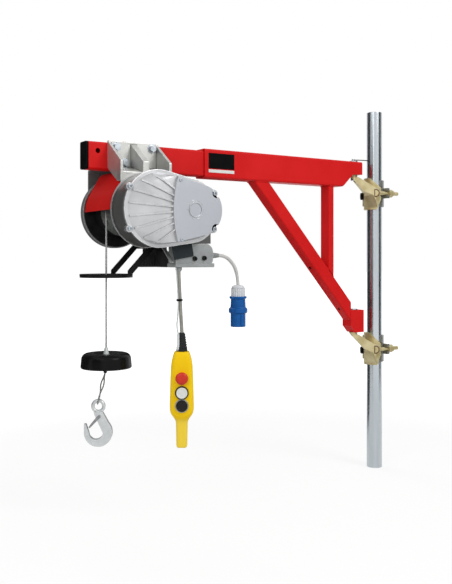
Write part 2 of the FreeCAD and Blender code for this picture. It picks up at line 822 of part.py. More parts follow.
def pivots():
    sleeve = box(("-pivot_reach - bush_width / 2", "-bush_depth / 2", "bush_low"),
                 ("bush_width", "bush_depth", "bush_height"))
    bore = cylinder(("-pivot_reach", "0", "bush_low"), "pin_bore", "bush_height")
    node(cut(sleeve, bore), "lower_pivot_bush")
    for prefix, ear, top in (("upper", "ear_top", "arm_top"),
                             ("lower", "lower_ear_top", "bush_low + bush_height")):
        tail = f"({ear} - ear_height - pin_tail)"
        pin = cylinder(("-pivot_reach", "0", tail), "pivot_pin_diameter / 2", f"{top} + pin_top - {tail}")
        head = cylinder(("-pivot_reach", "0", top), "pin_head_radius", "pin_head_height")
        node(fuse(pin, head), prefix + "_pivot_pin")


def inner_arm():
    along_arm = runs_along(FreeCAD.Vector(1, 0, 0))
    bar = box(("-inner_far", "-inner_depth / 2", "inner_bottom"),
              ("inner_length", "inner_depth", "inner_height"))
    hollow = box(("-inner_far", "-inner_depth / 2 + inner_wall", "inner_bottom + inner_wall"),
                 ("inner_length", "inner_depth - 2 * inner_wall", "inner_height - 2 * inner_wall"))
    hole = cylinder(("-inner_far + arm_hole_inset", "-inner_depth", "inner_top - arm_hole_drop"),
                    "arm_hole_diameter / 2", "2 * inner_depth", "Y")
    node(cut(round_edges(bar, "inner_corner", along_arm), hollow, hole), "inner_arm")
    cap = box(("-inner_far - cap_thickness", "-inner_depth / 2", "inner_bottom"),
              ("cap_thickness", "inner_depth", "inner_height"))
    inset = "(inner_wall + cap_gap)"
    plug = box(("-inner_far", f"-inner_depth / 2 + {inset}", f"inner_bottom + {inset}"),
               ("cap_plug", f"inner_depth - 2 * {inset}", f"inner_height - 2 * {inset}"))
    node(fuse(round_edges(cap, "inner_corner", along_arm), plug), "arm_end_cap")


def drum():
    back = ("-drum_reach", "drum_back", "drum_height")
    core = cylinder(("-drum_reach", "-drum_front", "drum_height"), "drum_radius", "drum_front + drum_back",
                    "Y")
    flange = cylinder(back, "flange_radius", "flange_thickness", "Y")
    dish = cut(cylinder(back, "flange_radius - flange_rim", "flange_dish", "Y"),
               cylinder(back, "drum_radius", "flange_dish", "Y"))
    shaft = cylinder(("-drum_reach", "-drum_front - shaft_front_length", "drum_height"),
                     "shaft_diameter / 2",
                     "drum_front + shaft_front_length + drum_back + flange_thickness + shaft_back_length",
                     "Y")
    node(fuse(core, cut(flange, dish), shaft), "rope_drum")


def rope():
    low = "(weight_top + ferrule_height)"
    node(cylinder(("-rope_reach", "0", low), "rope_diameter / 2", f"drum_height - {low}"), "hoist_rope")


def gear_housing():
    body = doc.addObject("PartDesign::Body", "Body")
    for start, depth, growth in (("0", "housing_depth", "0"), ("0", "lip_depth", "lip_height"),
                                 ("housing_depth - lip_depth", "lip_depth", "lip_height")):
        sketch = new_sketch(body, "XZ", start)
        draw_pear(sketch, ("-drum_reach", "drum_height", f"housing_radius + {growth}"),
                  ("-lobe_reach", "lobe_height", f"lobe_radius + {growth}"))
        pad(body, sketch, depth)
    body.setExpression("Placement.Base.y", sized("-housing_back"))
    foot = box(("-box_left + foot_inset", "-box_front + foot_inset", "box_top"),
               ("box_width - 2 * foot_inset", "box_depth - 2 * foot_inset", "lobe_height - box_top"))
    bore = cylinder(("-drum_reach", "-drum_front - shaft_front_length", "drum_height"),
                    "shaft_diameter / 2 + pin_clearance", "drum_front + shaft_front_length", "Y")
    node(cut(fuse(body, foot), bore), "gear_housing")


def cover_rib(angle):
    """A blade from the face's straight edge to the rim, at an angle about the point where the ribs meet."""
    turn = f"(({angle}) * 1deg)"
    lean = f"(hub_run * cos({turn}) - hub_drop * sin({turn}))"
    rim = f"(sqrt(rim_radius^2 - hub_run^2 - hub_drop^2 + {lean}^2) - {lean})"
    start = f"((plate_left_run - hub_run) / cos({turn}))"
    blade = standing([(start, "0"), (rim, "0"), (rim, "cover_flange + rib_end_height"),
                      (start, "cover_flange + cover_rise")], "rib_blade")
    outward = FreeCAD.Rotation(FreeCAD.Vector(0, 1, 0), -value(angle))
    place(blade, ("-hub_reach", "-housing_front", "hub_height"),
          outward.multiply(FreeCAD.Rotation(FreeCAD.Vector(1, 0, 0), 90)))
    return blade


def gear_cover():
    body = doc.addObject("PartDesign::Body", "Body")
    left = ("-drum_reach", "drum_height")
    right = ("-lobe_reach", "lobe_height")
    flange = new_sketch(body, "XZ")
    draw_pear(flange, (*left, "housing_radius + cover_lip"), (*right, "lobe_radius + cover_lip"))
    pad(body, flange, "cover_flange")
    lugs = new_sketch(body, "XZ")
    draw_circles(lugs, [
        ("-drum_reach - left_lug_run", "drum_height + left_lug_offset", "lug_radius"),
        ("-drum_reach - left_lug_run", "drum_height - left_lug_offset", "lug_radius"),
        ("-lobe_reach + right_lug_run", "lobe_height + right_lug_offset", "lug_radius"),
        ("-lobe_reach + right_lug_run", "lobe_height - right_lug_offset", "lug_radius")])
    pad(body, lugs, "lug_height")
    rim = new_sketch(body, "XZ", "cover_flange")
    draw_pear(rim, (*left, "rim_radius"), (*right, "lobe_radius - cover_inset"))
    waist = new_sketch(body, "XZ", "cover_flange + waist_rise")
    draw_plate(waist, ("-plate_left - waist_run", "lobe_height - waist_half_height",
                       "lobe_height + waist_half_height"),
               (*right, "plate_lobe_radius + waist_spread"))
    face = new_sketch(body, "XZ", "cover_flange + cover_rise")
    draw_plate(face, ("-plate_left", "lobe_height - plate_half_height", "lobe_height + plate_half_height"),
               (*right, "plate_lobe_radius"))
    dome = body.newObject("PartDesign::AdditiveLoft", "Dome")
    dome.Profile = rim
    dome.Sections = [waist, face]
    dome.Ruled = True
    boss = new_sketch(body, "XZ", "cover_flange + cover_rise")
    draw_circles(boss, [("-lobe_reach - boss_run", "lobe_height", "boss_radius"),
                        ("-lobe_reach - boss_run", "lobe_height", "boss_radius - boss_wall")])
    pad(body, boss, "boss_height")
    body.setExpression("Placement.Base.y", sized("-housing_front"))
    ribs = [cover_rib(f"rib_first_angle + {index} * rib_pitch_angle")
            for index in range(int(value("rib_count")))]
    node(fuse(body, *ribs), "gear_cover")


def hanger():
    arm_face = "-inner_depth / 2"
    plate = box(("-hanger_left", f"{arm_face} - hanger_plate", "hanger_bottom"),
                ("hanger_left - hanger_right", "hanger_plate", "hanger_top - hanger_bottom"))
    rib_outline = [(arm_face, "hanger_top"), ("-housing_back", "rib_shoulder"),
                   ("-housing_back", "rib_foot"),
                   ("-housing_back + rib_toe", "rib_foot"), (arm_face, "hanger_bottom")]
    ribs = [prism("YZ", rib_outline, f"-{reach}", thickness)
            for reach, thickness in (("hanger_left", "hanger_rib"),
                                     ("(drum_reach + hanger_middle_run)", "hanger_middle_rib"),
                                     ("(hanger_right + hanger_rib)", "hanger_rib"))]
    web = prism("YZ", [(arm_face, "hanger_bottom"), (arm_face, "hanger_bottom + web_thickness"),
                       ("-housing_back", "web_foot + web_thickness"), ("-housing_back", "web_foot")],
                "-hanger_left", "hanger_left - hanger_right")
    node(fuse(plate, web, *ribs), "hanger")


def rear_bracket():
    arm_face = "inner_depth / 2"
    outer = "bracket_face + bracket_plate"
    outline = [(arm_face, "bracket_top"), (outer, "bracket_shoulder"), (outer, "bracket_foot"),
               ("bracket_face", "bracket_foot"), ("bracket_face", "bracket_shoulder - bracket_plate"),
               (arm_face, "bracket_top - 2 * bracket_plate")]
    strap = prism("YZ", outline, "-hanger_left", "2 * hanger_left_run")
    centre = ("-drum_reach", "bracket_face", "drum_height")
    bearing = cylinder(centre, "bearing_radius", "bearing_length", "Y")
    bore = cylinder(centre, "shaft_diameter / 2 + pin_clearance", "2 * bearing_length", "Y")
    node(cut(fuse(strap, bearing), bore), "rear_bracket")


def drum_guard():
    length = "housing_back + drum_back - guard_flange_gap"
    turn = ALONG["Y"].multiply(FreeCAD.Rotation(FreeCAD.Vector(0, 0, 1), 180))
    shells = []
    for radius in ("guard_radius", "guard_radius - guard_sheet"):
        shell = cylinder(("-drum_reach", "-housing_back", "drum_height"), radius, length)
        bind(shell, Angle="guard_angle")
        place(shell, ("-drum_reach", "-housing_back", "drum_height"), turn)
        shells.append(shell)
    node(cut(*shells), "drum_guard")


def boxes():
    along_depth = runs_along(FreeCAD.Vector(0, 1, 0))
    case = box(("-box_left", "-box_front", "box_bottom"), ("box_width", "box_depth", "box_height"))
    node(round_edges(case, "box_corner",
                     lambda edge: along_depth(edge) and edge.BoundBox.XMin > -value("box_right") - TOUCH),
         "terminal_box")
    corners = [(f"{x} * plate_width / 2", f"{z} * plate_height / 2")
               for x, z in (("(-1)", "(-1)"), ("1", "(-1)"), ("1", "1"), ("(-1)", "1"))]
    plate = standing(corners, "plate_thickness")
    place(plate, ("-lobe_reach - plate_run", "-box_front - plate_thickness / 2", "box_top - plate_drop"),
          FreeCAD.Rotation(FreeCAD.Vector(0, 1, 0), -value("plate_tilt")))
    node(plate, "box_plate")
    neck = box(("-switch_left + switch_width - neck_width", "-box_back", "box_bottom"),
               ("neck_width", "box_back - switch_half_depth", "neck_height"))
    switch = box(("-switch_left", "-switch_half_depth", "box_bottom"),
                 ("switch_width", "switch_depth", "switch_height"))
    relay = box(("-switch_left + relay_run", "-switch_half_depth", "box_bottom"),
                ("relay_width", "switch_depth", "relay_height"))
    pin_hole = cylinder(("-lever_reach", "-2 * switch_half_depth", "lever_height"),
                        "lever_pin_diameter / 2 + pin_clearance", "4 * switch_half_depth", "Y")
    grooves = [box((f"-switch_left + groove_inset + {index} * 2 * groove_width", "-switch_half_depth",
                    "box_bottom + groove_inset"), ("groove_width", "groove_depth", "groove_height"))
               for index in range(int(value("groove_count")))]
    node(cut(fuse(neck, switch, relay), pin_hole, *grooves), "switch_box")


def limit_lever():
    long = "sqrt(lever_foot_run^2 + lever_foot_drop^2)"
    side_x = f"(lever_foot_drop / {long} * lever_bar_width / 2)"
    side_z = f"(lever_foot_run / {long} * lever_bar_width / 2)"
    outline = [(f"-lever_reach - {side_x}", f"lever_height + {side_z}"),
               (f"-lever_foot_reach - {side_x}", f"lever_foot_height + {side_z}"),
               (f"-lever_foot_reach - {side_x}", "ring_height"),
               (f"-lever_foot_reach + {side_x}", "ring_height"),
               (f"-lever_foot_reach + {side_x}", f"lever_foot_height - {side_z}"),
               (f"-lever_reach + {side_x}", f"lever_height - {side_z}")]
    lows = ("lever_side", "-lever_side - lever_bar")
    bars = [prism("XZ", outline, low, "lever_bar") for low in lows]
    eyes = [cylinder(("-lever_reach", low, "lever_height"), "lever_bar_width / 2", "lever_bar",
                     "Y") for low in lows]
    pin = cylinder(("-lever_reach", "-lever_side - lever_bar", "lever_height"), "lever_pin_diameter / 2",
                   "2 * (lever_side + lever_bar)", "Y")
    ring = cylinder(("-rope_reach", "0", "ring_height - ring_thickness / 2"), "ring_radius",
                    "ring_thickness")
    bore = cylinder(("-rope_reach", "0", "ring_height - ring_thickness"), "ring_bore", "2 * ring_thickness")
    node(fuse(*bars, pin, *eyes, cut(ring, bore)), "limit_lever")


def rope_weight():
    foot = ("weight_radius - weight_foot", "weight_foot")
    shoulder = ("weight_top_radius - weight_shoulder", "weight_height - weight_shoulder")
    dish = "weight_height - weight_dish"
    outline = [("0", "0"), (foot[0], "0", *foot, 1), ("weight_radius", foot[1]),
               ("weight_top_radius", shoulder[1], *shoulder, 1), (shoulder[0], "weight_height"),
               ("dish_radius", dish), ("ferrule_radius", dish),
               ("ferrule_tip_radius", "weight_height + ferrule_height"),
               ("0", "weight_height + ferrule_height")]
    node(spun(outline, ("-rope_reach", "0", "weight_bottom")), "rope_weight")


def at_hook(item, drop, forward="0", across="0"):
    spot = ("-rope_reach", "0", f"hook_eye_height - ({drop})")
    return turn_to(item, spot, forward, "hook_turn", f"({across}) - hook_offset")


def load_hook():
    eye = doc.addObject("Part::Torus", "Eye")
    bind(eye, Radius1="eye_ring_radius", Radius2="eye_wire_radius")
    eye.Placement = FreeCAD.Placement(FreeCAD.Vector(), ALONG["Y"])
    back_angle = "(hook_back_angle * 1deg)"
    bowl = ("0", "-bowl_drop")
    inner = ("-bowl_inner_offset", "-bowl_drop")
    outline = [
        ("neck_half_width", "-eye_ring_radius"),
        (f"bowl_outer_radius * cos({back_angle})", f"bowl_outer_radius * sin({back_angle}) - bowl_drop",
         *bowl, -1),
        ("-bowl_outer_radius", "-bowl_drop"),
        ("-bowl_outer_radius", "-tip_drop"),
        ("-bowl_outer_radius + tip_width", "-tip_drop"),
        ("-bowl_inner_offset - bowl_inner_radius", "-bowl_drop", *inner, 1),
        ("-bowl_inner_offset + bowl_inner_radius", "-bowl_drop"),
        ("-throat_offset", "-throat_drop"),
        ("-neck_half_width", "-eye_ring_radius")]
    forging = at_hook(standing(outline, "hook_thickness"), "0")
    hole = at_hook(cylinder(("0", "0", "0"), "latch_pin_diameter / 2 + pin_clearance", "2 * hook_thickness",
                            "Y"),
                   "latch_pin_drop", "hook_thickness", "latch_pin_offset")
    room = at_hook(cylinder(("0", "0", "0"), "eye_ring_radius - eye_wire_radius", "2 * hook_thickness",
                            "Y"),
                   "0", "hook_thickness")
    node(cut(fuse(forging, at_hook(eye, "0")), hole, room), "load_hook")


def hook_latch():
    run = "(latch_pin_offset + latch_end_offset)"
    rise = "(latch_end_drop - latch_pin_drop)"
    side = f"(latch_width / 2 / sqrt({run}^2 + {rise}^2))"
    outline = [(f"-{rise} * {side}", f"{run} * {side}"),
               (f"-{run} - {rise} * {side}", f"-{rise} + {run} * {side}"),
               (f"-{run}", f"-{rise}"), (f"{rise} * {side}", f"-{run} * {side}")]
    reach = "(hook_thickness / 2 + latch_side_gap)"
    cheeks = [at_hook(standing(outline, "latch_cheek"), "latch_pin_drop",
                      f"{way} * ({reach} + latch_cheek / 2)",
                      "latch_pin_offset") for way in ("1", "(-1)")]
    pin = at_hook(cylinder(("0", "0", "0"), "latch_pin_diameter / 2", f"2 * ({reach} + latch_cheek)", "Y"),
                  "latch_pin_drop", f"{reach} + latch_cheek", "latch_pin_offset")
    tongue = [(f"-{run} * tongue_start - {rise} * {side}", f"-{rise} * tongue_start + {run} * {side}"),
              (f"-{run} - {rise} * {side}", f"-{rise} + {run} * {side}"),
              (f"-{run}", f"-{rise}"),
              (f"-{run} * tongue_start - {rise} * {side} / 2",
               f"-{rise} * tongue_start + {run} * {side} / 2")]
    bridge = at_hook(standing(tongue, f"2 * ({reach} + latch_cheek)"), "latch_pin_drop", "0",
                     "latch_pin_offset")
    node(fuse(*cheeks, pin, bridge), "hook_latch")


def rope_link():
    """The rope's end loop: two strands from under the weight that meet in a bend through the hook's eye."""
    wire = value("link_wire / 2")
    bend = value("eye_wire_radius + link_wire / 2 + link_gap")
    turn = FreeCAD.Rotation(FreeCAD.Vector(0, 0, 1), -value("hook_turn"))
    foot = turn.multVec(FreeCAD.Vector(-value("hook_offset"), 0, 0))
    low = FreeCAD.Vector(foot.x - value("rope_reach"), foot.y, value("hook_eye_height + eye_ring_radius"))
    high = FreeCAD.Vector(-value("rope_reach"), 0, value("weight_bottom"))
    rise = high - low
    side = turn.multVec(FreeCAD.Vector(0, bend, 0))
    strands = []
    for way in (1, -1):
        strand = Part.makeCylinder(wire, rise.Length + wire, low + side * way, rise)
        strands.append(strand)
    circle = Part.Wire(Part.Circle(low + side, rise, wire).toShape())
    path = Part.Wire(Part.Arc(low + side, low - rise.normalize() * bend, low - side).toShape())
    loop = path.makePipeShell([circle], True, True)
    item = doc.addObject("Part::Feature", "Loop")
    item.Shape = strands[0].fuse([strands[1], loop])
    node(item, "rope_link")


def at_pendant(item, height, forward="0"):
    return turn_to(item, ("-pendant_reach", "-gland_front", height), forward, "pendant_turn")


def pendant():
    node(cylinder(("-gland_reach", "-gland_front", "box_bottom - gland_height"), "gland_radius",
                  "gland_height"),
         "pendant_gland")
    node(cone(("-pendant_reach", "-gland_front", "boot_bottom"), "boot_bottom_radius", "boot_top_radius",
              "boot_height"), "pendant_boot")
    shoulder, grip = "-pendant_shoulder", "-pendant_height + grip_length"
    sides = [("pendant_top_width / 2", "0"), ("pendant_width / 2", shoulder),
             ("pendant_width / 2", f"{grip} + pendant_neck"), ("grip_width / 2", grip),
             ("grip_width / 2", "-pendant_height")]
    outline = sides + [(f"-{across}", up) for across, up in reversed(sides)]
    case = round_edges(standing(outline, "pendant_depth"), "pendant_edge", lambda edge: True)
    at_pendant(case, "boot_bottom")
    wells = []
    for height, radius in (("stop_height", "stop_stem_radius"), ("raise_height", "button_radius"),
                           ("lower_height", "button_radius")):
        wells.append(at_pendant(cylinder(("0", "0", "0"), f"{radius} + button_gap", "2 * button_well", "Y"),
                                height,
                                "pendant_depth / 2 + button_well"))
    node(cut(case, *wells), "pendant_case")


def buttons():
    front, length = "pendant_depth / 2 + button_stand", "button_stand + button_depth"
    stem = at_pendant(cylinder(("0", "0", "0"), "stop_stem_radius", length, "Y"), "stop_height", front)
    head = at_pendant(cylinder(("0", "0", "0"), "stop_radius", "stop_head", "Y"), "stop_height",
                      f"{front} + stop_head")
    node(fuse(stem, head), "stop_button")
    for label, height in (("raise_button", "raise_height"), ("lower_button", "lower_height")):
        node(at_pendant(cylinder(("0", "0", "0"), "button_radius", length, "Y"), height, front), label)


def cord(label, points, diameter):
    """A tube along straight runs joined by the largest tangent arcs that the runs allow."""
    share = 0.45
    edges = []
    last = points[0]
    length = 0
    for before, corner, after in zip(points, points[1:], points[2:]):
        arrive, leave = (corner - before).normalize(), (after - corner).normalize()
        setback = share * min((corner - before).Length, (after - corner).Length)
        half_turn = arrive.getAngle(leave) / 2
        radius = setback / math.tan(half_turn)
        first, final = corner - arrive * setback, corner + leave * setback
        middle = corner + (leave - arrive).normalize() * radius * (1 / math.cos(half_turn) - 1)
        edges += [Part.LineSegment(last, first).toShape(), Part.Arc(first, middle, final).toShape()]
        last = final
        print(label, "bend radius", round(radius, 1))
    edges.append(Part.LineSegment(last, points[-1]).toShape())
    path = Part.Wire(edges)
    section = Part.Wire(Part.Circle(points[0], points[1] - points[0], diameter / 2).toShape())
    item = doc.addObject("Part::Feature", "Cord")
    item.Shape = path.makePipeShell([section], True, False)
    print(label, "volume over section times length",
          item.Shape.Volume / (math.pi * diameter**2 / 4 * path.Length))
    node(item, label)


def pendant_cable():
    front = -value("gland_front")
    top = FreeCAD.Vector(-value("gland_reach"), front, value("box_bottom - gland_height"))
    bottom = FreeCAD.Vector(-value("pendant_reach"), front, value("boot_top"))
    cord("pendant_cable", [top, bottom], value("cable_diameter"))


def power_lead():
    inlet = ("-box_right", "-inlet_front", "inlet_height")
    node(cylinder(inlet, "inlet_radius", "inlet_length", "X"), "power_inlet")
    route = [("0", "0"), ("lead_rise_run", "lead_rise_drop"), ("lead_crest_run", "lead_crest_drop"),
             ("lead_fall_run", "lead_fall_drop"), ("plug_run", "plug_drop")]
    points = [FreeCAD.Vector(value(f"{run} - lead_start"), value("-inlet_front"),
                             value(f"inlet_height - {drop}"))
              for run, drop in route]
    cord("power_cable", points, value("power_cable_diameter"))
    axis = ("plug_run - lead_start", "-inlet_front")
    node(cylinder((*axis, "plug_top - plug_nut_height"), "plug_nut_radius", "plug_nut_height"), "plug_nut")
    body_top = "plug_bottom + plug_height"
    sleeve = cylinder((*axis, "plug_bottom"), "plug_radius", "plug_height")
    rim = cylinder((*axis, f"{body_top} - plug_rim_height"), "plug_rim_radius", "plug_rim_height")
    collar = cylinder((*axis, f"{body_top} - plug_collar_drop - plug_collar_height"), "plug_collar_radius",
                      "plug_collar_height")
    node(fuse(sleeve, rim, collar), "plug_body")


def check_and_write():
    doc.recompute()
    failed = [item.Label for item in doc.Objects if "Invalid" in item.State or "Error" in item.State]
    broken = [item.Label for item in nodes if item.Shape.isNull() or not item.Shape.isValid()]
    if failed or broken:
        raise RuntimeError(f"failed: {failed}, broken shapes: {broken}")
    os.makedirs("parts", exist_ok=True)
    for item in nodes:
        item.Shape.exportStep(f"parts/{item.Label}.step")
        print(item.Label, len(item.Shape.Solids), round(item.Shape.Volume))


enter_sizes()
scaffold_tube()
coupler("upper_coupler_height", "upper")
coupler("lower_coupler_height", "lower")
outer_arm()
brace()
strut()
pivots()
inner_arm()
drum()
rope()
gear_housing()
gear_cover()
hanger()
rear_bracket()
drum_guard()
boxes()
limit_lever()
rope_weight()
rope_link()
load_hook()
hook_latch()
pendant()
buttons()
pendant_cable()
power_lead()
check_and_write()
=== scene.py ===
import json
import math

import bmesh
import bpy
from mathutils import Matrix, Vector
from mathutils.bvhtree import BVHTree
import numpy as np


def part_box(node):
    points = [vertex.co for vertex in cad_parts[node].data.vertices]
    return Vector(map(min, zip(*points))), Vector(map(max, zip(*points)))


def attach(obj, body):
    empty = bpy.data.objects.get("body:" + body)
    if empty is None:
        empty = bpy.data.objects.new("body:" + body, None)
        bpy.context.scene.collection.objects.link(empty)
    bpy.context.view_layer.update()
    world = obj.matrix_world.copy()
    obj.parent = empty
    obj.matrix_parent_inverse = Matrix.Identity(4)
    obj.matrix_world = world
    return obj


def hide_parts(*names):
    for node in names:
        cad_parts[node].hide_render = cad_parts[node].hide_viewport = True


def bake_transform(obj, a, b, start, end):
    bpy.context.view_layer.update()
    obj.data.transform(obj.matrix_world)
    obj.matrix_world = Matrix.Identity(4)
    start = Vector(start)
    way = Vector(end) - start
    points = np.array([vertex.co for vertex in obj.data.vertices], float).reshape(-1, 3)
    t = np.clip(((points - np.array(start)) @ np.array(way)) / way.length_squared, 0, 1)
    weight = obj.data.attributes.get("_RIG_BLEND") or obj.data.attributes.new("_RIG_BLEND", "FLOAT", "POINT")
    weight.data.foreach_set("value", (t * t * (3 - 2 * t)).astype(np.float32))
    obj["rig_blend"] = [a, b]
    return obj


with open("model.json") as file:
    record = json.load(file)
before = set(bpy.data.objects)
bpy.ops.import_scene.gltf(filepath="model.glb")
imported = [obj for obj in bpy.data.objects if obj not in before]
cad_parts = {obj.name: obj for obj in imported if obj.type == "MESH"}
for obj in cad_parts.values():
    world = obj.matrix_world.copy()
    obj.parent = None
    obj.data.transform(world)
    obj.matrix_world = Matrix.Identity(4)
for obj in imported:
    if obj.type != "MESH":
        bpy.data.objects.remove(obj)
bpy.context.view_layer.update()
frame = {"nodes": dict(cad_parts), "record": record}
scene = bpy.context.scene
scene.view_settings.view_transform = "Standard"
print("frame loaded:", len(frame["nodes"]), "nodes")


def linkObject(name, data):
    linked = bpy.data.objects.new(name, data)
    scene.collection.objects.link(linked)
    return linked


def stand(spot, direction=(0, 0, 1)):
    # turns a shape made along Z to a direction and takes it to a spot
    turn = Vector(direction).to_track_quat("Z", "Y").to_matrix().to_4x4()
    return Matrix.Translation(spot) @ turn


def feed(tree, node, inputs):
    # each input takes a link or a plain value
    for key, source in inputs.items():
        if isinstance(source, bpy.types.NodeSocket):
            tree.links.new(source, node.inputs[key])
        else:
            node.inputs[key].default_value = source


def addNode(tree, kind, inputs={}, **settings):
    node = tree.nodes.new("ShaderNode" + kind)
    for key, value in settings.items():
        setattr(node, key, value)
    feed(tree, node, inputs)
    return node


def addMath(tree, operation, *values):
    return addNode(tree, "Math", dict(enumerate(values)), operation=operation).outputs[0]


def newMaterial(name):
    material = bpy.data.materials.new(name)
    material.use_nodes = True
    return material, material.node_tree, material.node_tree.nodes["Principled BSDF"]


# camera, level, with the photograph's own lens and shift
viewpoint = {"place": (-1.7527, -1.8492, 0.671), "heading": -32.7, "lens": 48.08, "shiftY": -0.0599}


def addCamera():
    lensData = bpy.data.cameras.new("viewCamera")
    lensData.lens = viewpoint["lens"]
    lensData.shift_y = viewpoint["shiftY"]
    camera = linkObject("viewCamera", lensData)
    camera.location = viewpoint["place"]
    camera.rotation_euler = (math.radians(90), 0, math.radians(viewpoint["heading"]))
    scene.camera = camera


# soft studio light: a white room, a large key on the right, a weaker fill on the left and a rim light behind
studio = {
    "roomLight": 0.55,
    "lamps": {
        "keyLamp": {"place": (0.5, -2.8, 2.7), "aim": (-0.6, 0.0, 0.75), "width": 1.5, "watts": 46},
        "fillLamp": {"place": (-3.0, -1.2, 1.9), "aim": (-0.7, 0.0, 0.7), "width": 1.8, "watts": 20},
        "rimLamp": {"place": (-0.4, 2.2, 2.4), "aim": (-0.6, 0.0, 0.8), "width": 1.4, "watts": 14},
    },
    "cards": {
        "rightCard": {"place": (1.35, -1.25, 0.9), "aim": (-0.5, 0.0, 0.9), "width": 1.5, "tall": 3.2},
        "leftCard": {"place": (-2.45, 1.25, 0.9), "aim": (-0.5, 0.0, 0.9), "width": 1.5, "tall": 3.2},
        "sideCard": {"place": (-2.4, -0.65, 0.8), "aim": (0.0, 0.0, 0.8), "width": 1.4, "tall": 1.55},
        "backCard": {"place": (-0.75, 0.5, 0.7), "aim": (-0.75, 0.0, 0.7), "width": 1.3, "tall": 1.38},
    },
    "cardColour": (0.07, 0.073, 0.077, 1),
    "floorColour": (0.6, 0.6, 0.6, 1), "floorRough": 0.9, "floorSize": 24.0,
    "floorCentre": (-0.5, 0, 0), "floorFade": (0.9, 2.6), "floorGlow": 0.62, "floorWhite": 1.25,
}


def addLamps():
    for name, lamp in studio["lamps"].items():
        lampData = bpy.data.lights.new(name, "AREA")
        lampData.energy = lamp["watts"]
        lampData.size = lamp["width"]
        lampObject = linkObject(name, lampData)
        lampObject.location = lamp["place"]
        reach = Vector(lamp["aim"]) - Vector(lamp["place"])
        lampObject.rotation_euler = reach.to_track_quat("-Z", "Y").to_euler()


def seenDirectly(tree):
    # 1 for rays that show the background: straight from the camera, mirrored or let through
    rays = addNode(tree, "LightPath").outputs
    either = addMath(tree, "MAXIMUM", rays["Is Camera Ray"], rays["Is Glossy Ray"])
    return addMath(tree, "MAXIMUM", either, rays["Is Transmission Ray"])


def lightRoom():
    scene.world = bpy.data.worlds.new("whiteRoom")
    scene.world.use_nodes = True
    tree = scene.world.node_tree
    strength = addNode(tree, "MapRange", {"Value": seenDirectly(tree), "To Min": studio["roomLight"],
                                          "To Max": 1.0})
    feed(tree, tree.nodes["Background"], {"Color": (1, 1, 1, 1), "Strength": strength.outputs[0]})


def flatSheet(name, paint, size, at=Matrix()):
    sheet = bmesh.new()
    bmesh.ops.create_grid(sheet, x_segments=1, y_segments=1, size=size, matrix=at)
    sheetMesh = bpy.data.meshes.new(name)
    sheet.to_mesh(sheetMesh)
    sheet.free()
    sheetMesh.materials.append(paint)
    return linkObject(name, sheetMesh)


def layFloor():
    paint, tree, shader = newMaterial("studioFloor")
    feed(tree, shader, {"Base Color": studio["floorColour"], "Roughness": studio["floorRough"]})
    glow = addNode(tree, "Emission", {"Strength": studio["floorWhite"]})
    # the floor turns plain white with distance, so no horizon shows
    places = addNode(tree, "TexCoord").outputs["Object"]
    away = addNode(tree, "VectorMath", {0: places, 1: studio["floorCentre"]}, operation="DISTANCE")
    near, far = studio["floorFade"]
    fade = addNode(tree, "MapRange", {"Value": away.outputs["Value"], "From Min": near, "From Max": far,
                                      "To Min": studio["floorGlow"]}, interpolation_type="SMOOTHSTEP")
    share = addMath(tree, "MULTIPLY", seenDirectly(tree), fade.outputs[0])
    blend = addNode(tree, "MixShader", {0: share, 1: shader.outputs[0], 2: glow.outputs[0]})
    feed(tree, tree.nodes["Material Output"], {"Surface": blend.outputs[0]})
    flatSheet("studioFloor", paint, studio["floorSize"])


def standCards():
    # dark cards round the part, seen only as reflections in bright metal
    paint, tree, shader = newMaterial("studioCard")
    feed(tree, shader, {"Base Color": studio["cardColour"], "Roughness": 1.0, "Specular IOR Level": 0.0})
    for name, card in studio["cards"].items():
        at = stand(card["place"], Vector(card["aim"]) - Vector(card["place"]))
        cardObject = flatSheet(name, paint, 0.5, at @ Matrix.Diagonal((card["width"], card["tall"], 1, 1)))
        cardObject.visible_camera = False
        cardObject.visible_diffuse = False
        cardObject.visible_shadow = False


addCamera()
addLamps()
lightRoom()
layFloor()
standCards()
print("camera, lamps and floor ready")


